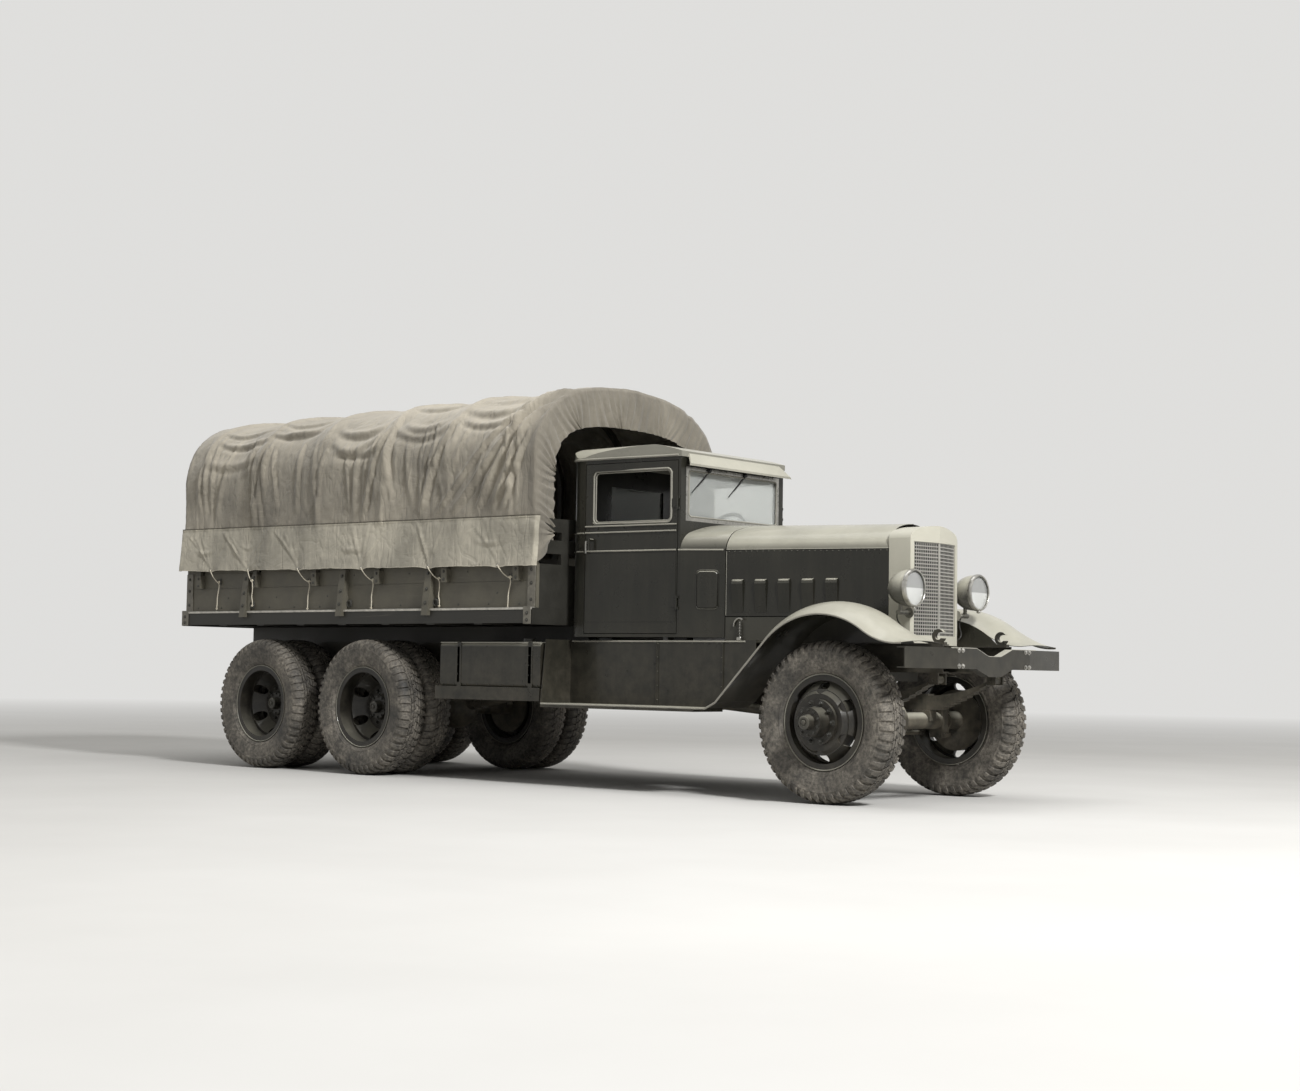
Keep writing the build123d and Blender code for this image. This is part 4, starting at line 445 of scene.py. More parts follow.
def lengths(points):
    """Length along a line of points, at each of them."""
    return np.concatenate([[0], np.cumsum(np.hypot(*np.diff(points, axis=0).T))])


def smooth_path(points, steps=5):
    """Catmull-Rom points through the given ones."""
    pts = [Vector(p) for p in points]
    pts = [pts[0], *pts, pts[-1]]
    out = []
    for a, b, c, d in zip(pts, pts[1:], pts[2:], pts[3:]):
        for t in (i / steps for i in range(steps)):
            out.append(0.5 * ((2 * b) + (c - a) * t + (2 * a - 5 * b + 4 * c - d) * t * t
                              + (3 * b - a - 3 * c + d) * t ** 3))
    return out + pts[-1:]


def rounded(x0, x1, z0, z1, r, n=6):
    """Points round a rectangle with rounded corners, closed."""
    out = []
    x0, x1, z0, z1 = x0 + r, x1 - r, z0 + r, z1 - r
    for cx, cz, a in ((x1, z1, 0), (x0, z1, 90), (x0, z0, 180), (x1, z0, 270)):
        for t in (radians(a + 90 * i / n) for i in range(n + 1)):
            out.append((cx + r * cos(t), cz + r * sin(t)))
    return out


TREES = {}


def meets(nodes, start, toward):
    """Where a ray from a point first meets these CAD nodes, and the surface's normal."""
    best = None
    for node in nodes:
        if node not in TREES:
            mesh = NODES[node].data
            points, faces = [v.co for v in mesh.vertices], [p.vertices for p in mesh.polygons]
            TREES[node] = BVHTree.FromPolygons(points, faces)
        place, normal, _, far = TREES[node].ray_cast(P(*start), Vector(toward).normalized())
        if place and (best is None or far < best[2]):
            best = (place, normal, far)
    if best is None:
        return None
    p = best[0] * 1000
    return Vector((p.x - X0 * 1000, p.y, p.z)), best[1]


def on_side(nodes, x, z, side, stand=0.0):
    """The outermost place of CAD nodes on one side of the truck, stood off along its normal."""
    found = meets(nodes, (x, side * 1500, z), (0, -side, 0))
    return found and (found[0] + found[1] * stand, found[1])


def traced(nodes, places, side, stand=0.0):
    """The outermost places of CAD nodes at (x, z) points, where there are any."""
    found = [on_side(nodes, x, z, side, stand) for x, z in places]
    return [f[0] for f in found if f]


def fix(put, nodes, places, side, *sizes):
    """Rivets or bolts on CAD nodes at (x, z) points."""
    for x, z in places:
        found = on_side(nodes, x, z, side)
        if found:
            put(*found, *sizes)


def piece(name, verts, faces, look, body="truck", smooth=38, slot=None, stands_for=()):
    """A mesh piece, riding on a body."""
    mesh = bpy.data.meshes.new(name)
    mesh.from_pydata([P(*v) for v in verts], [], faces)
    mesh.update()
    mesh.shade_smooth()
    mesh.set_sharp_from_angle(angle=radians(smooth))
    o = new_object(name, mesh)
    mesh.materials.append(M[look])
    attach(o, body)
    if stands_for:
        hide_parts(*stands_for)
    return o


class Shape:
    """Points and faces of many small forms that make one piece."""

    def __init__(self):
        self.verts, self.faces = [], []

    def add(self, verts, faces):
        n = len(self.verts)
        self.verts += [tuple(v) for v in verts]
        self.faces += [tuple(n + i for i in f) for f in faces]
        return self

    def rings(self, rings, caps=(True, True)):
        """Skin over equally long closed rings of points."""
        n = len(rings[0])
        faces = [(k * n + i, k * n + (i + 1) % n, (k + 1) * n + (i + 1) % n, (k + 1) * n + i)
                 for k in range(len(rings) - 1) for i in range(n)]
        if caps[0]:
            faces.append(tuple(reversed(range(n))))
        if caps[1]:
            faces.append(tuple((len(rings) - 1) * n + i for i in range(n)))
        return self.add([p for ring in rings for p in ring], faces)

    def lathe(self, profile, centre, axis, sides=24, caps=(True, True), start=0.0):
        """(radius, rise) pairs turned about an axis through centre."""
        a = Vector(axis).normalized()
        b = a.orthogonal().normalized()
        c = a.cross(b)
        around = [b * cos(start + t) + c * sin(start + t) for t in turns(sides)]
        rings = [[Vector(centre) + a * rise + way * radius for way in around] for radius, rise in profile]
        return self.rings(rings, caps)

    def bolt(self, place, axis, across, high, turn=0.0):
        """Hexagon head with a chamfered top, on a washer."""
        r = across / sqrt(3)
        self.lathe([(across * 0.82, -1), (across * 0.82, 1.6), (across * 0.78, 2.2)], place, axis, 14)
        return self.lathe([(r, 0.5), (r, 2 + high * 0.8), (r * 0.80, 2 + high)], place, axis, 6, start=turn)

    def rivet(self, place, axis, radius, high):
        dome = ((1, -0.5), (0.92, high * 0.45), (0.6, high * 0.85), (0.18, high))
        return self.lathe([(radius * part, rise) for part, rise in dome], place, axis, 10)

    def box(self, x0, x1, y0, y1, z0, z1, bevel=0.0):
        """Box whose edges are eased by bevel."""
        b = min(bevel, (x1 - x0) / 2.01, (y1 - y0) / 2.01, (z1 - z0) / 2.01)
        if b <= 0:
            v = [(x, y, z) for x in (x0, x1) for y in (y0, y1) for z in (z0, z1)]
            faces = [(0, 1, 3, 2), (4, 6, 7, 5), (0, 4, 5, 1), (2, 3, 7, 6), (0, 2, 6, 4), (1, 5, 7, 3)]
            return self.add(v, faces)
        rings = []
        for x, inset in ((x0, b), (x0 + b, 0), (x1 - b, 0), (x1, b)):
            ya, yb, za, zb = y0 + inset, y1 - inset, z0 + inset, z1 - inset
            c = b if inset < b else 0.3 * b
            rings.append([(x, ya + c, za), (x, yb - c, za), (x, yb, za + c), (x, yb, zb - c),
                          (x, yb - c, zb), (x, ya + c, zb), (x, ya, zb - c), (x, ya, za + c)])
        return self.rings(rings)

    def slab(self, side, x0, x1, y0, y1, z0, z1, bevel=1.5):
        """Box on one side of the truck, its places across given as on the left."""
        return self.box(x0, x1, *sorted((side * y0, side * y1)), z0, z1, bevel)

    def tube(self, path, radius, sides=8, closed=False):
        """Round tube along points, without twist."""
        pts = [Vector(p) for p in path]
        n = len(pts)
        rings = []
        for i, p in enumerate(pts):
            ahead = pts[(i + 1) % n if closed else min(i + 1, n - 1)]
            t = (ahead - pts[i - 1 if closed else max(i - 1, 0)]).normalized()
            if i == 0:
                across = t.orthogonal().normalized()
            across = (across - t * across.dot(t)).normalized()
            other = t.cross(across)
            rings.append([p + (across * cos(a) + other * sin(a)) * radius for a in turns(sides)])
        if closed:
            rings.append(rings[0])
        return self.rings(rings, (not closed,) * 2)

    def bead(self, nodes, start, end, side, radius, stand=1):
        """A half-round moulding that follows CAD surfaces between two (x, z) points."""
        n = max(1, int(hypot(end[0] - start[0], end[1] - start[1]) / 60))
        path = [(lerp(start[0], end[0], i / n), lerp(start[1], end[1], i / n)) for i in range(n)]
        return self.tube(traced(nodes, path + [end], side, stand), radius)

    def make(self, name, look, body="truck", **options):
        return piece(name, self.verts, self.faces, look, body, **options)


def cord(name, points, diameter, look):
    """A free cord along given points."""
    curve = bpy.data.curves.new(name, "CURVE")
    curve.dimensions = "3D"
    curve.resolution_u = 12
    spline = curve.splines.new("NURBS")
    spline.points.add(len(points) - 1)
    for p, q in zip(spline.points, points):
        p.co = (*P(*q), 1)
    spline.order_u = 3
    spline.use_endpoint_u = True
    o = new_object(name, curve)
    bpy.context.view_layer.update()
    run = [v.co.copy() for v in bpy.data.meshes.new_from_object(o).vertices]
    curve.bevel_depth = diameter / 2000
    curve.bevel_resolution = 3
    curve.use_fill_caps = True
    curve.materials.append(M[look])
    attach(o, "truck")


# Wheels

# Each pair of wheels: axle, middles of its tyres, mounting face and hub cap face
AXLES = {"front": (0, (756,), 894, 1050), "middle": (-4300, (935, 660), 797, 905),
         "rear": (-5570, (935, 660), 797, 905)}
HUB_Z = 530
PITCHES = 52
# Radius and offset of the carcass under the tread, from its middle down to the rim
CARCASS = [(516, 0), (515.5, 30), (513, 62), (507, 86), (496, 104), (480, 116), (462, 122.5),
           (457, 124), (454.5, 125), (451, 124.8), (448.5, 123.6), (430, 124), (405, 122), (380, 116),
           (358, 107), (350, 104.2), (347, 105), (343.5, 104.2), (341, 101), (332, 95), (324, 88.5),
           (318.5, 82), (316.5, 77.3)]
# Radius and offset of the tops of the blocks
TREAD = [(530, 0), (529.5, 30), (527.5, 58), (523, 82), (513, 103), (499, 117), (482, 124.6), (466, 126.2)]


def measured(profile):
    pts = np.array(profile, float)
    return pts, lengths(pts)


TREAD_LINE, CARCASS_LINE = measured(TREAD), measured(CARCASS)
TREAD_REACH = TREAD_LINE[1][-1]


def along(line, s):
    """Radius and offset at a length along a measured profile."""
    pts, reach = line
    return tuple(float(np.interp(s, reach, pts[:, i])) for i in (0, 1))


def add_tyre(shape, y_middle, axle_x, phase):
    """One tyre: a smooth carcass, a split rib round its middle and bars on its shoulders."""

    def spot(radius, offset, turn):
        return (axle_x + radius * sin(turn), y_middle + offset, HUB_Z + radius * cos(turn))

    def block(s0, s1, width0, width1, skew, at, rows, side):
        """One block between two lengths, its width and place given as parts of a pitch."""
        rings = []
        for k in range(rows + 1):
            f = k / rows
            s = lerp(s0, s1, f)
            outer = s > 0.6 * TREAD_REACH
            r, o = along(TREAD_LINE, s)
            rb, ob = along(CARCASS_LINE, s * 0.985)
            rb, ob = rb - 3, ob - (2 if outer else 0)
            half = lerp(width0, width1, f) / 2 * unit
            mid = (at + skew * (f - 0.5)) * unit
            eased = 0.16 * half
            r_edge, o_edge = r - 2.4, o - (1.2 if outer else 0)
            r_top = r if 0 < k < rows else r - 1.0
            ring = [(rb, ob, mid - half), (r_edge, o_edge, mid - half), (r_top, o, mid - half + eased),
                    (r_top, o, mid + half - eased), (r_edge, o_edge, mid + half), (rb, ob, mid + half)]
            rings.append([spot(a, side * b, c) for a, b, c in ring][::-side])
        shape.rings(rings)

    sides = PITCHES * 2
    profile = [(r, -o) for r, o in reversed(CARCASS[1:])] + CARCASS
    shape.rings([[spot(r, o, 2 * pi * (i + phase) / sides) for i in range(sides)] for r, o in profile],
                (False, False))
    unit = 2 * pi / PITCHES
    for base in (i + phase for i in range(PITCHES)):
        block(0.5, 17, 0.86, 0.86, 0.10, base, 1, 1)
        block(0.5, 17, 0.86, 0.86, 0.10, base + 0.5, 1, -1)
        for side in (1, -1):
            block(23, 44, 0.80, 0.74, 0.22, base + (0.25 if side > 0 else 0.75), 2, side)
            block(51, 0.97 * TREAD_REACH, 0.70, 0.40, 0.10, base + (0.5 if side > 0 else 0.0), 7, side)


def make_tyres():
    # Every wheel stands at its own turn
    k = 0
    for axle, (x, places, _, _) in AXLES.items():
        for side, name in SIDES:
            node = f"{axle}_tyre_{name}" if axle == "front" else f"{axle}_tyres_{name}"
            shape = Shape()
            for j, y in enumerate(places):
                add_tyre(shape, side * y, x, 0.37 * k + 0.21 * j)
            shape.make(f"{node}_tread", "tyre", f"{axle}_wheel_{name}", smooth=30, stands_for=(node,))
            k += 1


# Canvas cover: one sheet over the bows, drawn in round an opening at each end

BAY = 762
BOWS = [-2620 - BAY * i for i in range(6)]
CLOTH_FRONT, CLOTH_REAR = -2446, -6652
# Half section of the taut cloth: crown, corner and shoulder; its wall stands just off the bows
CROWN_Z, CORNER_Y, CORNER_Z, SHOULDER_Z, WALL_Y = 3006, 620, 2930, 2400, 1052


def section():
    points = [(CORNER_Y * i / 24, CROWN_Z - 76 * (i / 24) ** 2) for i in range(24)]
    a0 = radians(74)
    for a in (a0 * (1 - i / 32) for i in range(33)):
        points.append((CORNER_Y + (WALL_Y - CORNER_Y) * (cos(a) - cos(a0)) / (1 - cos(a0)),
                       SHOULDER_Z + (CORNER_Z - SHOULDER_Z) * sin(a) / sin(a0)))
    return np.array(points + [(WALL_Y - 8 * i / 20, SHOULDER_Z - 800 * i / 20) for i in range(1, 21)])


ARCH = section()
ARCH_S = lengths(ARCH)


def arch_at(s):
    """Place and outward direction on the half section, by arc length from the crown."""
    (y, z), (y0, z0), (y1, z1) = ([np.interp(v, ARCH_S, ARCH[:, i]) for i in (0, 1)]
                                  for v in (s, np.maximum(s - 25, 0), s + 25))
    n = np.hypot(y1 - y0, z1 - z0)
    return y, z, (z0 - z1) / n, (y1 - y0) / n


def arc_length_at(z):
    return np.interp(-z, -ARCH[:, 1], ARCH_S)


def seam_z(x):
    return lerp(1973, 1935, (x - CLOTH_REAR) / (CLOTH_FRONT - CLOTH_REAR))


def hem_z(x):
    return lerp(1652, 1604, (x - CLOTH_REAR) / (CLOTH_FRONT - CLOTH_REAR))


def held_at_seam(x, s):
    """1 below the seam, where the cloth lies flat on the bows, 0 above it."""
    return ease(arc_length_at(seam_z(x) + 40), arc_length_at(seam_z(x) - 30), s)


def fold(d, width):
    """A rounded ridge with a tight valley beside it."""
    return np.exp(-(d / width) ** 2) - 0.75 * np.exp(-((d - 1.5 * width) / (0.8 * width)) ** 2)


def cloud(x, s, across, down, seed):
    """Smooth noise over the sheet, with its own size each way."""
    flat = [noise.noise(Vector((a / across, b / down, seed))) for a, b in zip(x.ravel(), s.ravel())]
    return np.array(flat).reshape(x.shape)


# Drag lines from the front bows down and back: top (x, arc length), foot x, height, width
DRAGS = ((-2470, 560, -3040, 32, 34), (-2478, 800, -2870, 30, 28), (-2462, 700, -3290, 26, 38),
         (-2500, 1000, -2760, 24, 24), (-2560, 600, -3460, 20, 30), (-3372, 900, -3660, 22, 26),
         (-4134, 980, -4330, 24, 24))
# Edges of the widths of cloth, at the shoulder and at the seam
SEWN_EDGES = ((-5900, -5975), (-4164, -4164), (-2962, -2990))


def cover_lift(x, s, side):
    """How far the cloth stands out from the taut section."""
    rng = np.random.default_rng(11 if side < 0 else 23)
    place = (BOWS[0] - x) / BAY
    bay = np.floor(place)
    u = place - bay
    hang = np.where((bay >= 0) & (bay < 5), 4 * u * (1 - u), 0)
    depth = lerp(lerp(48, 24, ease(250, 900, s)), 7, ease(1150, 1600, s))
    lift = -depth * hang ** 0.8
    near = np.abs(place - np.round(place)) * BAY
    lift += 6 * np.exp(-(near / 36) ** 4) * (1 - ease(1500, 1700, s))
    past = np.maximum(x - BOWS[0], 0) + np.maximum(BOWS[5] - x, 0)
    lift -= 10 * ease(40, 200, past)
    for b in range(5):
        for k in range(3):
            level = rng.uniform(640, 1180) if k else rng.uniform(820, 980)
            drop, width = rng.uniform(40, 130), rng.uniform(26, 48)
            size = rng.uniform(9, 18) if k else rng.uniform(17, 25)
            lo, hi = rng.uniform(-0.05, 0.2), rng.uniform(0.8, 1.05)
            v = np.clip((u - lo) / (hi - lo), 0, 1)
            line = level + drop * 4 * v * (1 - v)
            lift += np.where(bay == b, size * fold(s - line, width) * np.sin(np.pi * v) ** 0.7, 0)
        for k in range(8):
            beside = rng.random() < 0.6
            c = rng.choice([0.06, 0.94]) + rng.normal(0, 0.05) if beside else rng.uniform(0.15, 0.85)
            lean, size, width = rng.normal(0, 90), rng.uniform(10, 22), rng.uniform(13, 25)
            start, end, turn = rng.uniform(760, 1150), rng.uniform(1500, 1800), rng.choice([-1, 1])
            line = BOWS[0] - BAY * (b + c) + lean * (s - 1400) / 700 + 10 * np.sin(s / 160 + k)
            fade = ease(start, start + 260, s) * (1 - ease(end - 120, end + 160, s))
            lift += size * fold((x - line) * turn, width) * fade
    for x_top, s_top, x_foot, size, width in DRAGS:
        t = np.clip((s - s_top) / (1740 - s_top), 0, 1.1)
        line = x_top + (x_foot - x_top) * t ** 1.25
        lift += size * fold(x - line, width) * ease(s_top, s_top + 180, s) * (1 - ease(1650, 1790, s))
    for top, foot in SEWN_EDGES:
        past_edge = x - (top + (foot - top) * ease(600, 1700, s))
        step = np.where(past_edge > 0, 5 * ease(0, 16, past_edge) * np.exp(-past_edge / 260), 0)
        lift += step * ease(300, 700, s)
    lift += 8 * cloud(x, s, 210, 260, 3 + side) + 4.4 * cloud(x, s, 60, 130, 17 + side)
    return lift + 1.8 * cloud(x, s, 30, 44, 31 + side)


# Edge of each end's opening: half width and height, from the crown down to the hem
MOUTH = [(0, 2690), (180, 2688), (351, 2678), (500, 2655), (621, 2620), (705, 2572), (765, 2510), (805, 2430),
         (823, 2340), (828, 2200), (827, 2000), (825, 1790), (822, 1640)]
GATHERS = 52
GATHER_ROWS = 16


def cover_grid():
    """Rows of points across the truck, from the rear opening over the bows to the front opening."""
    t = np.concatenate([np.linspace(0, 0.9, 172), np.linspace(0.9125, 1, 8)])
    x, part = np.meshgrid(np.linspace(CLOTH_REAR, CLOTH_FRONT, 211), t, indexing="ij")
    s = part * arc_length_at(hem_z(x) + 14)
    y, z, ny, nz = arch_at(s)
    lifts = {side: cover_lift(x, s, side) for side, _ in SIDES}
    middle = (lifts[1] + lifts[-1]) / 2
    halves = {}
    for side, _ in SIDES:
        lift = lerp(lerp(middle, lifts[side], ease(0, 420, s)), 0, held_at_seam(x, s))
        py = np.where(z < 2380, np.maximum(y + ny * lift, 1016), y + ny * lift)
        halves[side] = np.stack([x, side * py, z + nz * lift], axis=-1)
    body = np.concatenate([halves[1][:, :0:-1], halves[-1]], axis=1)
    mouth = np.array(MOUTH, float)
    reach = lengths(mouth)
    my, mz = (np.interp(t * reach[-1], reach, mouth[:, i]) for i in (0, 1))
    edge = np.concatenate([np.stack([my, mz], -1)[:0:-1], np.stack([-my, mz], -1)])
    at = np.arange(len(edge))
    ends = []
    for row, out in ((body[0], -1), (body[-1], 1)):
        spacing, size = (np.array([noise.noise(Vector((i / across, seed, out))) for i in at])
                         for across, seed in ((14, 4.2), (7, 8.1)))
        phase = np.cumsum(0.6 + 0.8 * (0.5 + spacing))
        phase *= 2 * np.pi * GATHERS / phase[-1]
        rings = []
        for f in (k / GATHER_ROWS for k in range(1, GATHER_ROWS + 1)):
            sway = at + 7.0 * np.sin(phase * 0.13) * f
            py, pz = (lerp(row[:, i + 1], np.interp(sway, at, edge[:, i]), f ** 0.85) for i in (0, 1))
            wave = 1 - 1.7 * np.abs(np.cos(phase / 2 + 0.9 * f)) ** 1.6 + 0.35 * np.sin(2.3 * phase + 2 * f)
            deep = (2.5 + 17 * f ** 0.8) * (0.75 + 0.5 * size)
            px = row[:, 0] + out * (min(1, 5 * f) * 9 - 16 * f) + deep * wave * 0.8
            rings.append(np.stack([px, py, pz], -1))
        ends.append(rings)
    return np.array(ends[0][::-1] + list(body) + ends[1])


def cloth(name, grid, look, turn=1, **options):
    """A sheet through rows of points, and its area in square metres."""
    n = grid.shape[1]
    faces = [(i * n + j, i * n + j + 1, (i + 1) * n + j + 1, (i + 1) * n + j)[::turn]
             for i in range(len(grid) - 1) for j in range(n - 1)]
    sheet = piece(name, grid.reshape(-1, 3).tolist(), faces, look, smooth=180, **options)
    a = grid[1:, 1:] - grid[:-1, :-1]
    b = grid[1:, :-1] - grid[:-1, 1:]
    return sheet, 0.5 * np.linalg.norm(np.cross(a, b), axis=-1).sum() / 1e6


def make_cover():
    cover, area = cloth("cover_sheet", cover_grid(), "canvas", stands_for=("canvas_cover",))


# Skirts: the lower side cloths, sewn on along the seam and tied down along the hem

# Eyelet along the hem, and hook along and up the side, of each tie
TIES = ((-6237, -6180, 1545), (-5731, -5672, 1548), (-5089, -4990, 1530), (-4308, -4215, 1528),
        (-3540, -3462, 1525), (-2790, -2700, 1520))
SKIRT_ENDS = CLOTH_REAR - 14, CLOTH_FRONT + 12
# How far the skirts stand above the seam, how round they turn each corner and how far past it they reach
SKIRT_TOP, SKIRT_TURN, SKIRT_WRAP = 24, 34, 58


def skirt_spot(x, part, side):
    """Places on one skirt, from its seam down to its hem."""
    pull = sum(np.exp(-((x - tie[0]) / 60) ** 2) for tie in TIES)
    wave = 7 * cloud(x, x * 0, 240, 1, 51 + side) + 3 * cloud(x, x * 0, 70, 1, 57 + side)
    top = seam_z(x) + SKIRT_TOP
    bottom = hem_z(x) - 9 + wave - 10 * pull
    z = top - part * (top - bottom)
    s = arc_length_at(z)
    y = np.maximum(arch_at(s)[0] + cover_lift(x, s, side) * (1 - held_at_seam(x, s)), 1044)
    rng = np.random.default_rng(61 if side < 0 else 67)
    out = 4 + part ** 1.2 * (26 - 15 * pull) + 4 * cloud(x, part * 400, 150, 200, 71 + side)
    out += 1.6 * cloud(x, part * 400, 40, 60, 77 + side)
    for tie_x, _, _ in TIES:
        for k in range(4):
            away = rng.uniform(60, 430) * (1 if rng.random() < 0.25 else -1)
            size, width = rng.uniform(4, 9), rng.uniform(10, 20)
            line = tie_x + away * (1 - part) ** rng.uniform(0.9, 1.5)
            fade = np.sin(np.pi * np.clip(part, 0, 1) ** 1.3) * (1 - 0.4 * part)
            out += size * fold((x - line) * np.sign(away), width * (1.3 - 0.7 * part)) * fade
    for k in range(9):
        x0, reach, level = rng.uniform(-6500, -2700), rng.uniform(160, 420), rng.uniform(0.3, 0.85)
        v = np.clip((x - x0) / reach, 0, 1)
        line = level + rng.uniform(0.05, 0.22) * np.sin(np.pi * v)
        out += rng.uniform(3, 7) * fold((part - line) * 380, rng.uniform(14, 24)) * np.sin(np.pi * v)
    return y + np.maximum(out, 3), z


def make_skirts():
    low, high = SKIRT_ENDS
    run = np.linspace(low - SKIRT_WRAP, high + SKIRT_WRAP, 352)
    run, part = np.meshgrid(run, np.linspace(0, 1, 36), indexing="ij")
    past = np.maximum(run - high, 0) + np.maximum(low - run, 0)
    out = np.where(run > high, 1.0, -1.0)
    bend = np.minimum(past / SKIRT_TURN, pi / 2)
    beyond = np.maximum(past - SKIRT_TURN * pi / 2, 0)
    for side, name in SIDES:
        x = np.clip(run, low, high)
        y, z = skirt_spot(x, part, side)
        x = x + out * SKIRT_TURN * np.sin(bend) * 0.55 + 5 * cloud(past, z, 30, 90, 91 + side) * (past > 0)
        y = y - (SKIRT_TURN * (1 - np.cos(bend)) + beyond)
        z = z + 0.32 * beyond * (0.3 + 0.7 * part)
        grid = np.stack([x, side * y, z], -1)
        skirt, area = cloth(f"cover_skirt_{name}", grid, "skirt", side)
        stitched = [(a, b + side * 1.5, c - 12) for a, b, c in grid[:, 0]]
        Shape().tube(grid[:, -1], 3.2, 6).tube(stitched, 1.6, 5).make(f"cover_skirt_hem_{name}", "skirt")
        # A dark rolled line along the top of each skirt: painted shadow under the overlapping cloth above.
        shadow_line = [(a, b - side * 1, c + 3) for a, b, c in grid[:, 0]]
        Shape().tube(shadow_line, 3.4, 6).make(f"cover_seam_shadow_{name}", "tape")


def knot(name, place, size):
    """A small overhand knot."""
    points = [Vector(place) + size * Vector((sin(t) + 2 * sin(2 * t), 0.9 * sin(3 * t),
                                             cos(t) - 2 * cos(2 * t))) for t in turns(60)]
    return Shape().tube(points, size * 1.05, 7, closed=True).make(name, "rope")


@each_side
def make_ties(side, name):
    """Cotton ropes from the skirts' eyelets round iron hooks on the sides, their tails hanging."""
    hooks, eyelets = Shape(), Shape()
    for k, (x, hx, hz) in enumerate(TIES):
        y, z = (float(v[0, 0]) for v in skirt_spot(np.array([[float(x)]]), np.array([[0.955]]), side))
        ring = [(x + 9 * cos(t), side * (y + 1.5), z + 9 * sin(t)) for t in turns(20)]
        eyelets.tube(ring, 2.6, 6, closed=True)
        wall = abs(on_side(["cargo_sides", "canvas_bows"], hx, hz, side)[0].y)
        hooks.slab(side, hx - 13, hx + 13, wall, wall + 4, hz - 26, hz + 26, 1.2)
        arm = [(hx, side * (wall + out), hz + up) for out, up in ((2, 4), (16, -2), (26, 4), (29, 20))]
        hooks.tube(smooth_path(arm), 4.5)
        hang = wall + 13
        drift = 9 * sin(2.3 * k + side)
        tie = knot(f"tie_knot_{name}_{k + 1}", (hx + 2, side * (wall + 21), hz - 6), 4.2)
        tip = (hx - 10 + 2 * drift, side * (hang + 2), hz - 222 + drift)
        end = knot(f"tie_end_{name}_{k + 1}", tip, 2.9)
        points = [(x, side * (y + 4), z), (x + 8, side * (y + 13), z - 8),
                  (lerp(x, hx, 0.45), side * lerp(y + 12, wall + 24, 0.4), lerp(z, hz, 0.55) - 10),
                  (lerp(x, hx, 0.8), side * lerp(y + 10, wall + 22, 0.8), lerp(z, hz, 0.92) - 10),
                  (hx + 2, side * (wall + 21), hz - 8), (hx + 8, side * (wall + 19), hz - 34),
                  (hx - 2 + drift, side * (hang + 2), hz - 84), (hx - 16 + drift, side * hang, hz - 136),
                  (hx - 4 + 2 * drift, side * (hang + 3), hz - 186), tip]
        cord(f"tie_rope_{name}_{k + 1}", points, 8, "rope")
    hooks.make(f"tie_hooks_{name}", "iron")
    eyelets.make(f"eyelets_{name}", "bright")


# Seats: crowned leather with sewn rolls and piped edges

# Low corner, high corner, sewn face (0 looks along +X, 2 looks up), crown and the CAD node that it replaces
SEATS = {"seat_cushion": ((-2352, -556, 1398), (-1884, 556, 1528), 2, 20, ("seat_cushions",)),
         "seat_back": ((-2358, -556, 1545), (-2248, 556, 1922), 0, 16, ())}
ROLL_PITCH, SEAT_CORNER, SEAT_PULL = 93, 34, 14


def cushion(low, high, face, crown):
    """A padded form: its points, faces, the number of every grid cell's point and the counts of cells."""
    low, high = Vector(low), Vector(high)
    half, middle = (high - low) / 2, (high + low) / 2
    counts = [max(4, round(2 * h / 15)) for h in half]
    index, verts, faces = {}, [], []
    across = 2 - face

    def spot(cell):
        p = Vector([2 * c / n - 1 for c, n in zip(cell, counts)])
        at = Vector([a * h for a, h in zip(p, half)])
        core = Vector([max(-(h - SEAT_CORNER), min(h - SEAT_CORNER, v)) for v, h in zip(at, half)])
        out = at - core
        at = core + out.normalized() * SEAT_CORNER if out.length > 0 else at
        front = (p[face] + 1) / 2
        swell = max(0, (1 - p[across] ** 2) * (1 - p[1] ** 4)) ** 0.6
        at[face] += crown * swell * ease(0.35, 1, front)
        roll = abs(sin(pi * at[1] / ROLL_PITCH)) ** 0.45
        edge = (1 - abs(p[across]) ** 10) * (1 - abs(p[1]) ** 16)
        at[face] -= 11 * (1 - roll) * edge * ease(0.55, 1, front)
        at[1] -= SEAT_PULL * copysign(1, p[1]) * abs(p[1]) ** 3 * (1 - p[across] ** 2) * 0.6
        at[across] -= SEAT_PULL * p[across] ** 3 * (1 - p[1] ** 2) * 0.5
        at[face] += 1.6 * noise.noise(Vector((at.x / 60, at.y / 60, at.z / 60))) * front
        return middle + at

    def vertex(cell):
        if cell not in index:
            index[cell] = len(verts)
            verts.append(spot(cell))
        return index[cell]

    for axis in range(3):
        u, v = (axis + 1) % 3, (axis + 2) % 3
        for end in (0, counts[axis]):
            for i in range(counts[u]):
                for j in range(counts[v]):
                    cells = []
                    for di, dj in ((0, 0), (1, 0), (1, 1), (0, 1)):
                        cell = [0, 0, 0]
                        cell[axis], cell[u], cell[v] = end, i + di, j + dj
                        cells.append(vertex(tuple(cell)))
                    faces.append(tuple(cells if end else cells[::-1]))
    return verts, faces, index, counts


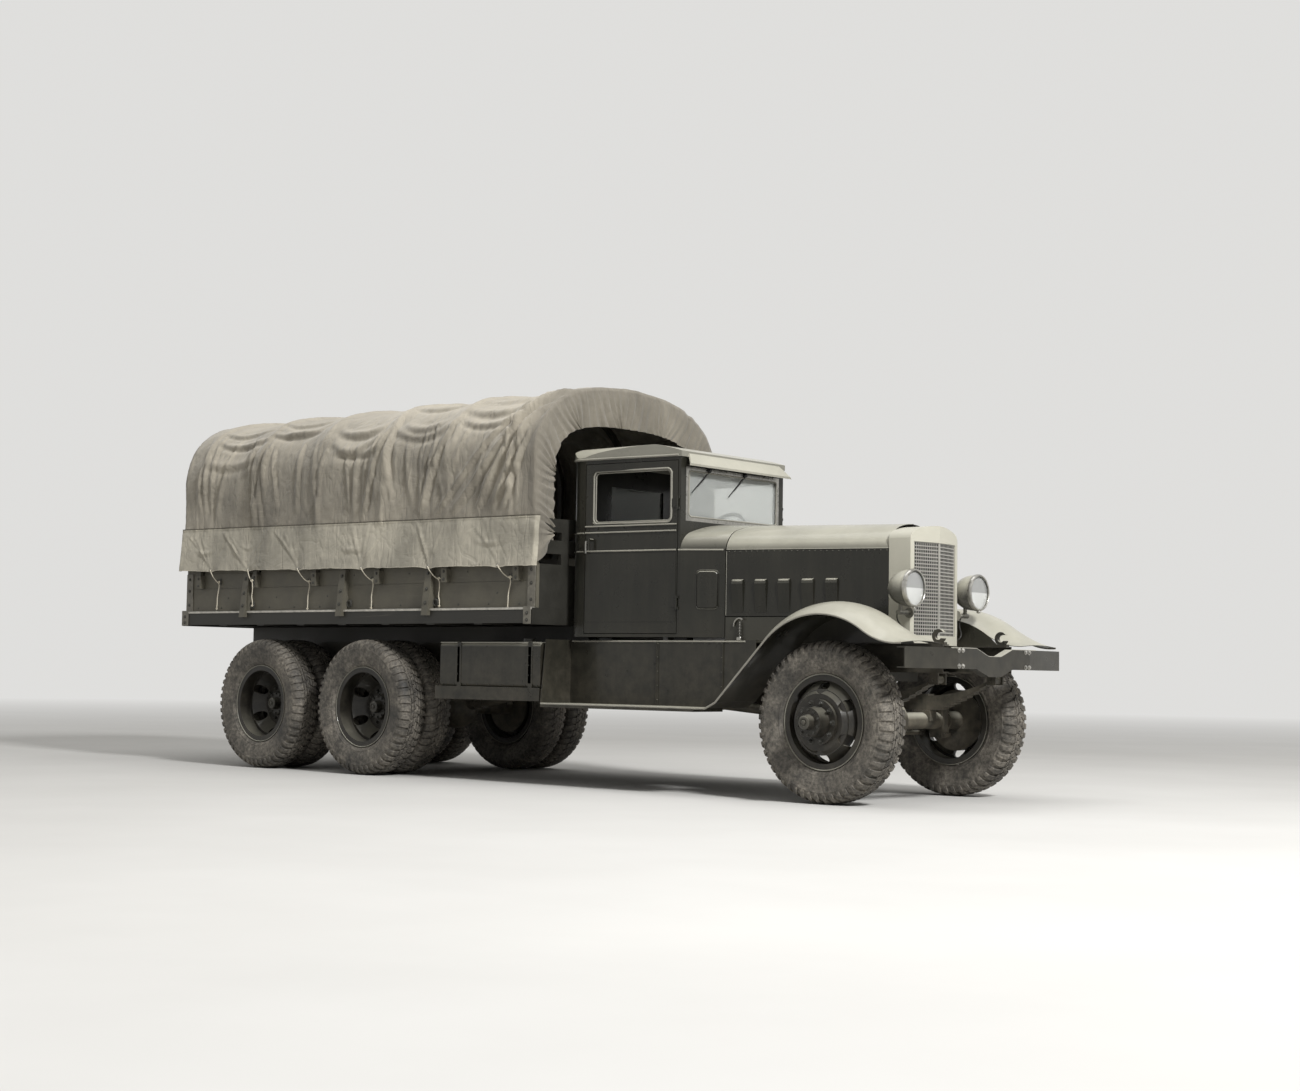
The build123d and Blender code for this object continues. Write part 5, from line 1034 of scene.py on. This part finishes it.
def make_seats():
    for name, (low, high, face, crown, replaced) in SEATS.items():
        verts, faces, index, counts = cushion(low, high, face, crown)
        pad = piece(name, verts, faces, "leather", smooth=180, stands_for=replaced)
        across = 2 - face
        n, m = counts[across], counts[1]
        ring = [(i, 0) for i in range(n)] + [(n, j) for j in range(m)]
        ring += [(i, m) for i in range(n, 0, -1)] + [(0, j) for j in range(m, 0, -1)]
        loop = []
        for i, j in ring:
            cell = [0, 0, 0]
            cell[face], cell[across], cell[1] = counts[face] - 1, i, j
            loop.append(verts[index[tuple(cell)]])
        Shape().tube(loop, 4.5, 6, closed=True).make(f"{name}_piping", "leather")


# Cab

# Place across, radius and pointer's angle of each dial
DIALS = ((300, 42, -80), (200, 30, -20), (130, 30, 40), (400, 30, 0))
DIAL_Z = 1800


def dials():
    faces, rings, hands = Shape(), Shape(), Shape()
    for y, radius, pointed in DIALS:
        at, back = (-1521, y, DIAL_Z), (-1, 0, 0)
        faces.lathe([(radius, 0), (radius, 1.5), (radius - 3, 1.6)], at, back, 32)
        bezel = [(radius + wider, rise) for wider, rise in ((-3, 1), (-1, 5), (3, 6), (6, 3), (6, -1))]
        rings.lathe(bezel, at, back, 32, (False, False))
        for t in (radians(-130 + 260 * i / 8) for i in range(9)):
            hands.tube([(-1523.2, y + radius * r * sin(t), DIAL_Z + radius * r * cos(t))
                        for r in (0.66, 0.84)], 0.9, 5)
        t = radians(pointed)
        tip = (-1524, y + radius * 0.7 * sin(t), DIAL_Z + radius * 0.7 * cos(t))
        hands.tube([(-1524, y, DIAL_Z), tip], 1.2, 5)
    faces.make("dial_faces", "dial")
    rings.make("dial_rings", "bright")
    hands.make("dial_marks", "seam")


def cab_side_y(x):
    """Half width of the cab's straight side at a place along it."""
    return 600 + (-1430 - x) * 105 / 970


@each_side
def cab_trim(side, name):
    """Window frames, mouldings and handles of the doors, and the cowl's ventilators."""
    door = f"door_{name}"
    # Window frames and beads in the lighter edge enamel: painted highlight along them, with rubbed wear.
    trim = Shape()
    for corners, out, *size in (((-2187, -1507, 1905, 2290, 42), 2.5, 7.5, 8),
                                ((-2174, -1520, 1918, 2277, 32), -6, 5, 6)):
        trim.tube([(x, side * (cab_side_y(x) + out), z) for x, z in rounded(*corners)], *size, closed=True)
    trim.make(f"{door}_window_trim", "edge", door)
    beads = Shape()
    for z0, z1, radius in ((1842, 1842, 5.5), (1888, 1888, 5.5), (1707, 1704, 6)):
        beads.bead([door], (-2243, z0), (-1458, z1), side, radius)
    beads.make(f"{door}_beads", "edge", door)
    rear = Shape()
    for z in (1842, 1707):
        rear.bead(["cab_body"], (-2385, z), (-2262, z), side, 5.5)
    rear.make(f"cab_beads_{name}", "edge")
    front = Shape().bead(["cowl", "cab_body"], (-1445, 1704), (-1135, 1702), side, 6)
    front.make(f"cowl_bead_{name}", "edge")
    handle = Shape()
    at = Vector((-2227, side * cab_side_y(-2227), 1776))
    handle.lathe([(17, -1), (17, 4), (12, 7), (9, 22), (9, 36)], at, (0, side, 0), 18)
    lever = ((0, 30, 4), (0, 36, -18), (2, 38, -52), (6, 40, -84))
    handle.tube(smooth_path([at + Vector((a, side * b, c)) for a, b, c in lever]), 7)
    handle.make(f"{door}_handle", "bright", door)
    normal = on_side(["cowl"], -1240, 1420, side)[1]
    vent = []
    for inset, up in ((0, -1), (0, 8), (5, 13)):
        corners = rounded(-1312 + inset, -1172 - inset, 1290 + inset, 1552 - inset, 26 - inset * 0.5)
        vent.append([place + normal * up for place in traced(["cowl"], corners, side)][::-side])
    Shape().rings(vent).make(f"cowl_vent_{name}", "paint")
    lip = traced(["cowl"], rounded(-1318, -1166, 1284, 1558, 30), side, 2)
    Shape().tube(lip, 4, 6, closed=True).make(f"cowl_vent_lip_{name}", "paint")


def windshield_fittings():
    """Wipers hung from the header, and the seal round the glass."""
    shape = Shape()
    for top, foot in ((123, -18), (-291, -436)):
        shape.lathe([(16, -2), (16, 10), (11, 22)], (-1430, top, 2290), (1, 0, 0), 16)
        shape.tube([(-1412, top, 2290), (-1408, lerp(top, foot, 0.5), 2228), (-1413, foot, 2165)], 3.6, 6)
        reach = Vector((0, foot - top, -125)).normalized()
        middle = Vector((-1419, lerp(top, foot, 0.8), lerp(2290, 2165, 0.8)))
        shape.tube([middle - reach * 110, middle, middle + reach * 110], 4.2, 6)
    shape.make("wipers", "black")
    seal = [(-1427, y, z) for y, z in rounded(-513, 513, 1947, 2273, 26)]
    Shape().tube(seal, 5.5, 6, closed=True).make("windshield_seal", "edge")


@each_side
def eaves(side, name):
    """Rolled gutter along the foot of the roof panel."""
    line = traced(["cab_roof"], [(lerp(-2385, -1445, k / 23), 2380) for k in range(24)], side, -1.0)
    Shape().tube(smooth_path(line, 2), 8.0, 10).make(f"eaves_roll_{name}", "edge")


# Nose, fenders and running boards

GRILLE_ROWS, GRILLE_COLUMNS = 26, 11
GRILLE_HALF, GRILLE_LOW, GRILLE_HIGH = 253.5, 1108.5, 1730.5


def grille_slot_shadows():
    """Dark patches round every slot of the guard: painted shadow that makes the slots look deeper and wider.
    """
    pitch, column = (GRILLE_HIGH - GRILLE_LOW) / GRILLE_ROWS, (GRILLE_HALF - 18) / GRILLE_COLUMNS
    # The guard's slope, found between two slots of its middle row
    ya, yb, probe_z = 8 + column, 8 + column * 10, GRILLE_LOW + 13.5 * pitch - 9
    xa, xb = (meets(["radiator_grille"], (700, -y, probe_z), (-1, 0, 0))[0].x for y in (ya, yb))
    slope = (xb - xa) / (yb - ya)
    slot_shadows = Shape()
    for z in (GRILLE_LOW + (row + 0.5) * pitch for row in range(GRILLE_ROWS)):
        for k in range(GRILLE_COLUMNS):
            inner, outer = 8 + column * (k + 0.19), 8 + column * (k + 0.81)
            for side, _ in SIDES:
                corners = [Vector((xa + slope * (y - ya) + depth, side * y, z + up)) for depth in (0.7, -0.6)
                           for y, up in ((inner, -10), (outer, -10), (outer, 5.5), (inner, 5.5))]
                slot_shadows.add(corners, [(0, 1, 2, 3), (7, 6, 5, 4), (0, 4, 5, 1), (1, 5, 6, 2), (2, 6, 7, 3),
                                     (3, 7, 4, 0)])
    slot_shadows.make("grille_slot_painted_shadows", "seam", slot="grille_steel")


def radiator_core():
    """Finned core behind the grille, near-black: its black paint taken darker as painted shade behind the
    slots.
    """
    core, fins = Shape().box(196, 262, -246, 246, 1130, 1700, 3), Shape()
    for z in (1142 + 12.2 * i for i in range(46)):
        fins.box(262, 266, -240, 240, z, z + 2.2)
    for y in (-236 + 19.6 * i for i in range(25)):
        fins.box(262, 268, y - 1.6, y + 1.6, 1134, 1696)
    core.make("radiator_core", "seam", slot="cast_iron")
    fins.make("radiator_fins", "seam", slot="cast_iron")


@each_side
def hood_edges(side, name):
    """The hood sides' wired rear edges, and pale rolled ridges over their vents as painted highlights."""
    node = f"hood_side_{name}"
    line = traced([node], [(-1113, lerp(1240, 1690, i / 25)) for i in range(26)], side, 0.5)
    line = [p for p in line if abs(p.y) > 300]
    Shape().tube(line, 2.6, 6).make(f"hood_rear_edge_{name}", "edge", node)
    vent_highlights = Shape()
    # Pale rolled ridges on the vents' tops, in the lighter edge enamel: painted highlight.
    for i in range(5):
        places = [(lerp(-1058, -978, k / 11) + 182 * i, 1482) for k in range(12)]
        line = traced([node], places, side, -3.0)
        rings = []
        for k, place in enumerate(line):
            r = 4 + 6.5 * sin(pi * k / (len(line) - 1)) ** 0.5
            rings.append([place + Vector((0, side * r * cos(a) * 0.9, r * sin(a) * 0.75))
                          for a in np.linspace(0, 2 * pi, 14, endpoint=False)])
        vent_highlights.rings(rings)
    vent_highlights.make(f"hood_vent_highlights_{name}", "edge", node)


@each_side
def hood_fittings(side, name):
    """Rivets of the hood's hinges, and the spring catches on the ledges under it."""
    node = f"hood_side_{name}"
    rivets = Shape()
    places = [(x, lerp(1690, 1705, (130 - x) / 1250) - 17) for x in (112 - 44.6 * i for i in range(28))]
    fix(rivets.rivet, [node], places, side, 5.2, 3.2)
    rivets.make(f"hood_hinge_rivets_{name}", "paint", node)
    x, y = -988, side * 470
    spring = Shape().tube([(x + 13 * cos(t), y + 13 * sin(t), 1088 + 3.2 * t)
                           for t in (2 * pi * i / 12 for i in range(60))], 2.6, 6)
    catch = Shape().slab(side, -1006, -970, 456, 484, 1066, 1090, 3).tube([(x, y, 1080), (x, y, 1195)], 5)
    arc = [(-1042, y, 1163), (-1036, y, 1190), (-1016, y, 1212), (x, y, 1220), (-962, y, 1208)]
    catch.tube(smooth_path(arc), 6.5)
    catch.make(f"hood_catch_{name}", "bright")
    spring.make(f"hood_catch_spring_{name}", "iron")


def bumper_fittings():
    bolts = Shape()
    for y in (395, 441, -395, -441):
        for z in (905, 1006):
            bolts.bolt(*meets(["front_bumper"], (1200, y, z), (-1, 0, 0)), 20, 9)
    bolts.make("bumper_bolts", "bright")
    line = []
    for y in (lerp(-962, 962, i / 120) for i in range(121)):
        low = meets(["front_bumper"], (760, y, 1300), (0, 0, -1))
        if low:
            line.append((769, y, low[0].z - 1))
    Shape().tube(line, 3.6, 6).make("bumper_edge", "edge")


LAMP = (401, 400, 1412)
# Points of the headlamp's lead behind, inward and below the lamp's middle
LAMP_LEAD = ((92, 0, 108), (112, 0, 132), (140, 6, 176), (137, 26, 226), (106, 54, 262), (84, 80, 296),
             (96, 98, 326), (130, 108.5, 338))


@each_side
def lamp_fittings(side, name):
    """Rim, reflector, bulb and armoured lead of a headlamp."""
    x, y, z = at = (LAMP[0], side * LAMP[1], LAMP[2])
    ahead = (1, 0, 0)
    rim = Shape().lathe([(112, 14), (115, 16.5), (122, 14), (127, 6), (127.5, -4), (126, -12), (122, -12),
                         (121, 0), (113, 6), (112, 14)], at, ahead, 64, (False, False))
    rim.box(x - 10, x + 12, y - 9, y + 9, z - 140, z - 124, 2)
    rim.make(f"headlamp_rim_{name}", "bright")
    dish = [(110 * sqrt(i / 12), -92 + 86 * i / 12) for i in range(1, 13)]
    Shape().lathe(dish, at, ahead, 48, (True, False)).make(f"headlamp_reflector_{name}", "reflector")
    bulb = [(9, -90), (9, -60), (13, -52), (15, -42), (12, -31), (5, -26)]
    Shape().lathe(bulb, at, ahead, 16).make(f"headlamp_bulb_{name}", "bulb")
    lead = [(x - back, y - side * inward, z - down) for back, inward, down in LAMP_LEAD]
    cord(f"headlamp_lead_{name}", lead, 9, "hose")


APRON = ["running_boards", "front_fenders"]


@each_side
def board_ribs(side, name):
    """Ribs pressed along the running boards."""
    treads = Shape()
    for y in range(690, 965, 25):
        treads.slab(side, -2390, -1180, y, y + 7, 599.5, 602.5, 0.8)
    treads.make(f"running_board_treads_{name}", "treadplate")


@each_side
def splash_trim(side, name):
    """Beads and rivets of the splash aprons."""
    beads, rivets = Shape(), Shape()
    for x in (-1583, -983):
        beads.bead(APRON, (x, 618), (x, 1052), side, 4.5, 0.5)
    places = [(x, z) for x in (-1573, -993) for z in (640, 740, 840, 940, 1036)]
    fix(rivets.rivet, APRON, places + [(-2380 + 112 * i, 1040) for i in range(14)], side, 6, 3)
    beads.make(f"splash_beads_{name}", "paint")
    rivets.make(f"splash_rivets_{name}", "paint")
    Shape().bead(APRON, (-2405, 1054), (-790, 1054), side, 5.5).make(f"splash_top_bead_{name}", "edge")


@each_side
def rolled_edges(side, name):
    """The wired edge that runs from the running board's end up over the front wheel."""
    line = [Vector((x, side * 968, 597)) for x in range(-2415, -1130, 60)]
    for x in (lerp(-1110, 676, i / 120) for i in range(121)):
        found = meets(APRON, (x, side * 962, -50), (0, 0, 1))
        if found:
            line.append(Vector((found[0].x, side * 968, found[0].z)))
    kept = line[:1]
    for p in line[1:]:
        if (p - kept[-1]).length > 12:
            kept.append(p)
    Shape().tube(smooth_path(kept, 2), 7).make(f"rolled_edge_{name}", "edge")


# Wheels, tanks and body

def wheel_fittings():
    """Rim rings, nuts and hub caps of every wheel; the rim rings' lighter enamel is painted highlight."""
    for axle, (x, tyres, mount_y, cap_y) in AXLES.items():
        for side, side_name in SIDES:
            body = f"{axle}_wheel_{side_name}"
            rings, studs, caps = Shape(), Shape(), Shape()
            out = (0, side, 0)
            # Rings on the rim flange and lock ring, drawn lighter as painted highlight.
            for y, face in ((tyres[0], 1), (tyres[-1], -1)):
                for radius, offset, r in ((311.5, 86, 4.2), (286, 79, 4.5)):
                    at = Vector((x, side * (y + face * offset), HUB_Z))
                    ring = [at + Vector((radius * sin(t), 0, radius * cos(t))) for t in turns(72)]
                    rings.tube(ring, r, closed=True)
            flange = side * (mount_y + 22)
            for t in (2 * pi * (i + 0.5) / 10 for i in range(10)):
                at = (x + 128 * sin(t), flange, HUB_Z + 128 * cos(t))
                studs.bolt(at, out, 25, 17, t)
                studs.lathe([(8, 0), (8, 9), (5.5, 12)], (at[0], flange + side * 17, at[2]), out, 10)
            for t in turns(10):
                at = (x + 81 * sin(t), side * (cap_y - 45), HUB_Z + 81 * cos(t))
                studs.bolt(at, out, 15, 10, t)
            centre = (x, side * cap_y, HUB_Z)
            dome = [(44, -2), (43.5, 2), (38, 6), (27, 8.5), (24.5, 8), (22.5, 2)]
            caps.lathe(dome, centre, out, 32, (False, True))
            caps.lathe([(17, 1), (17, 11), (14, 13)], centre, out, 6, start=0.3)
            rings.make(f"{body}_rings", "rim", body)
            studs.make(f"{body}_nuts", "bolt", body)
            caps.make(f"{body}_hub_cap", "cap", body)


TANK_Y, TANK_TOP = 948, 1038


@each_side
def tank_trim(side, name):
    """Straps, rivets and top edges of the side tanks."""
    straps, rivets = Shape(), Shape()
    for x in (-3291, -2546):
        straps.slab(side, x - 21, x + 21, TANK_Y, TANK_Y + 4, 700, TANK_TOP + 4, 1.2)
        straps.slab(side, x - 21, x + 21, 523, TANK_Y + 4, TANK_TOP, TANK_TOP + 4, 1.2)
        for z in (728, 800, 872, 944, 1016):
            for dx in (-13, 13):
                rivets.rivet((x + dx, side * (TANK_Y + 4), z), (0, side, 0), 4.5, 3)
    for i in range(9):
        rivets.rivet((-3470 + 124 * i, side * TANK_Y, 722), (0, side, 0), 5, 3)
    straps.make(f"tank_straps_{name}", "paint")
    rivets.make(f"tank_rivets_{name}", "bolt", slot="paint")
    top = [(x, side * (TANK_Y - 4), TANK_TOP - 1) for x in (-3500, -2446)]
    Shape().tube(top, 5).make(f"tank_edge_{name}", "edge")


STAKES = (-3560, -4560, -5790)
SIDE_Y = 1000


@each_side
def body_fittings(side, name):
    """Irons, rails, bolts and lashing rings of the cargo body's sides."""
    out = (0, side, 0)
    strip, stakes, bolts, rings = Shape(), Shape(), Shape(), Shape()
    for y0, z0 in ((1006, 1290), (1043, 1276)):
        strip.slab(side, -6650, -2450, y0, 1047, z0, 1294)
    strip.make(f"floor_edge_strip_{name}", "strip")
    rail = Shape().slab(side, -6648, -2452, 978, SIDE_Y, 1612, 1666, 3)
    rail.make(f"side_top_rail_{name}", "timber")
    for x0, x1 in ((-6644, -6556), (-2532, -2456)):
        stakes.slab(side, x0, x1, 1044, 1050, 1172, 1300).slab(side, x0, x1, 1001, 1008, 1296, 1614)
        for y, z in ((1008, 1350), (1008, 1470), (1008, 1570), (1050, 1200), (1050, 1250)):
            bolts.bolt(((x0 + x1) / 2, side * y, z), out, 17, 8)
    fix(bolts.bolt, ["cargo_sides"], [(x, z) for x in STAKES for z in (1335, 1440, 1560)], side, 19, 9)
    for i in range(13):
        x = -6480 + 322 * i
        if min(abs(x - s) for s in STAKES) > 60:
            bolts.rivet((x, side * SIDE_Y, 1322), out, 9, 4)
        x += 90
        if min(abs(x - b) for b in BOWS) > 70 and min(abs(x - s) for s in STAKES) > 60:
            bolts.rivet((x, side * SIDE_Y, 1404 if i % 2 else 1566), out, 8, 4)
    fix(bolts.bolt, ["cargo_sides"], [(x, z) for x in BOWS for z in (1512, 1572)], side, 15, 7)
    for x in (stake + 62 for stake in STAKES):
        rings.slab(side, x - 22, x + 22, SIDE_Y, 1005, 1318, 1372)
        staple = ((-14, 1004, 1362), (-14, 1016, 1360), (14, 1016, 1360), (14, 1004, 1362))
        rings.tube([(x + dx, side * y, z) for dx, y, z in staple], 5)
        rings.tube([(x + 24 * sin(t), side * (1013 + 3 * cos(t)), 1338 + 26 * cos(t))
                    for t in turns(28)], 4.5, closed=True)
    stakes.make(f"corner_stakes_{name}", "stake")
    bolts.make(f"body_bolts_{name}", "iron")
    rings.make(f"lashing_rings_{name}", "iron")


GATE_X = -6664


def tail_fittings():
    """Hinge straps, latches and bolts of the tailgate, and the plain tail lamp."""
    hinges, bolts = Shape(), Shape()
    for y in (-640, 0, 640):
        hinges.box(GATE_X, GATE_X + 6, y - 24, y + 24, 1290, 1570, 1.5)
        hinges.lathe([(8, -34), (9, -32), (9, 32), (8, 34)], (GATE_X - 3, y, 1290), (0, 1, 0), 16)
        for z in (1340, 1420, 1500, 1548):
            bolts.bolt((GATE_X, y, z), (-1, 0, 0), 15, 6)
    for side, _ in SIDES:
        y = side * 925
        hinges.box(GATE_X, GATE_X + 6, y - 22, y + 22, 1500, 1600, 1.5)
        latch = [(-6666, y, 1585), (-6680, y, 1580), (-6688, y, 1560), (-6686, y, 1515), (-6676, y, 1500)]
        hinges.tube(smooth_path(latch), 6)
    hinges.make("tailgate_straps", "iron", "tailgate")
    bolts.make("tailgate_bolts", "iron", "tailgate")
    at, ahead = (-6560, 780, 1110), (1, 0, 0)
    case = [(30, 30), (44, 26), (48, 6), (48, -18), (44, -22)]
    lamp = Shape().box(-6532, -6500, 750, 810, 1090, 1172, 2)
    lamp.lathe(case, at, ahead, 28).make("tail_lamp_left", "paint")
    lens = [(42, -20), (40, -27), (28, -33), (8, -36)]
    Shape().lathe(lens, at, ahead, 28).make("tail_lens_left", "red")


for build in (make_tyres, make_cover, make_skirts, make_ties, make_seats, dials, tail_fittings, grille_slot_shadows,
              radiator_core, eaves, hood_edges, board_ribs, wheel_fittings, cab_trim, hood_fittings,
              bumper_fittings, splash_trim, tank_trim, lamp_fittings, windshield_fittings, rolled_edges,
              body_fittings):
    build()
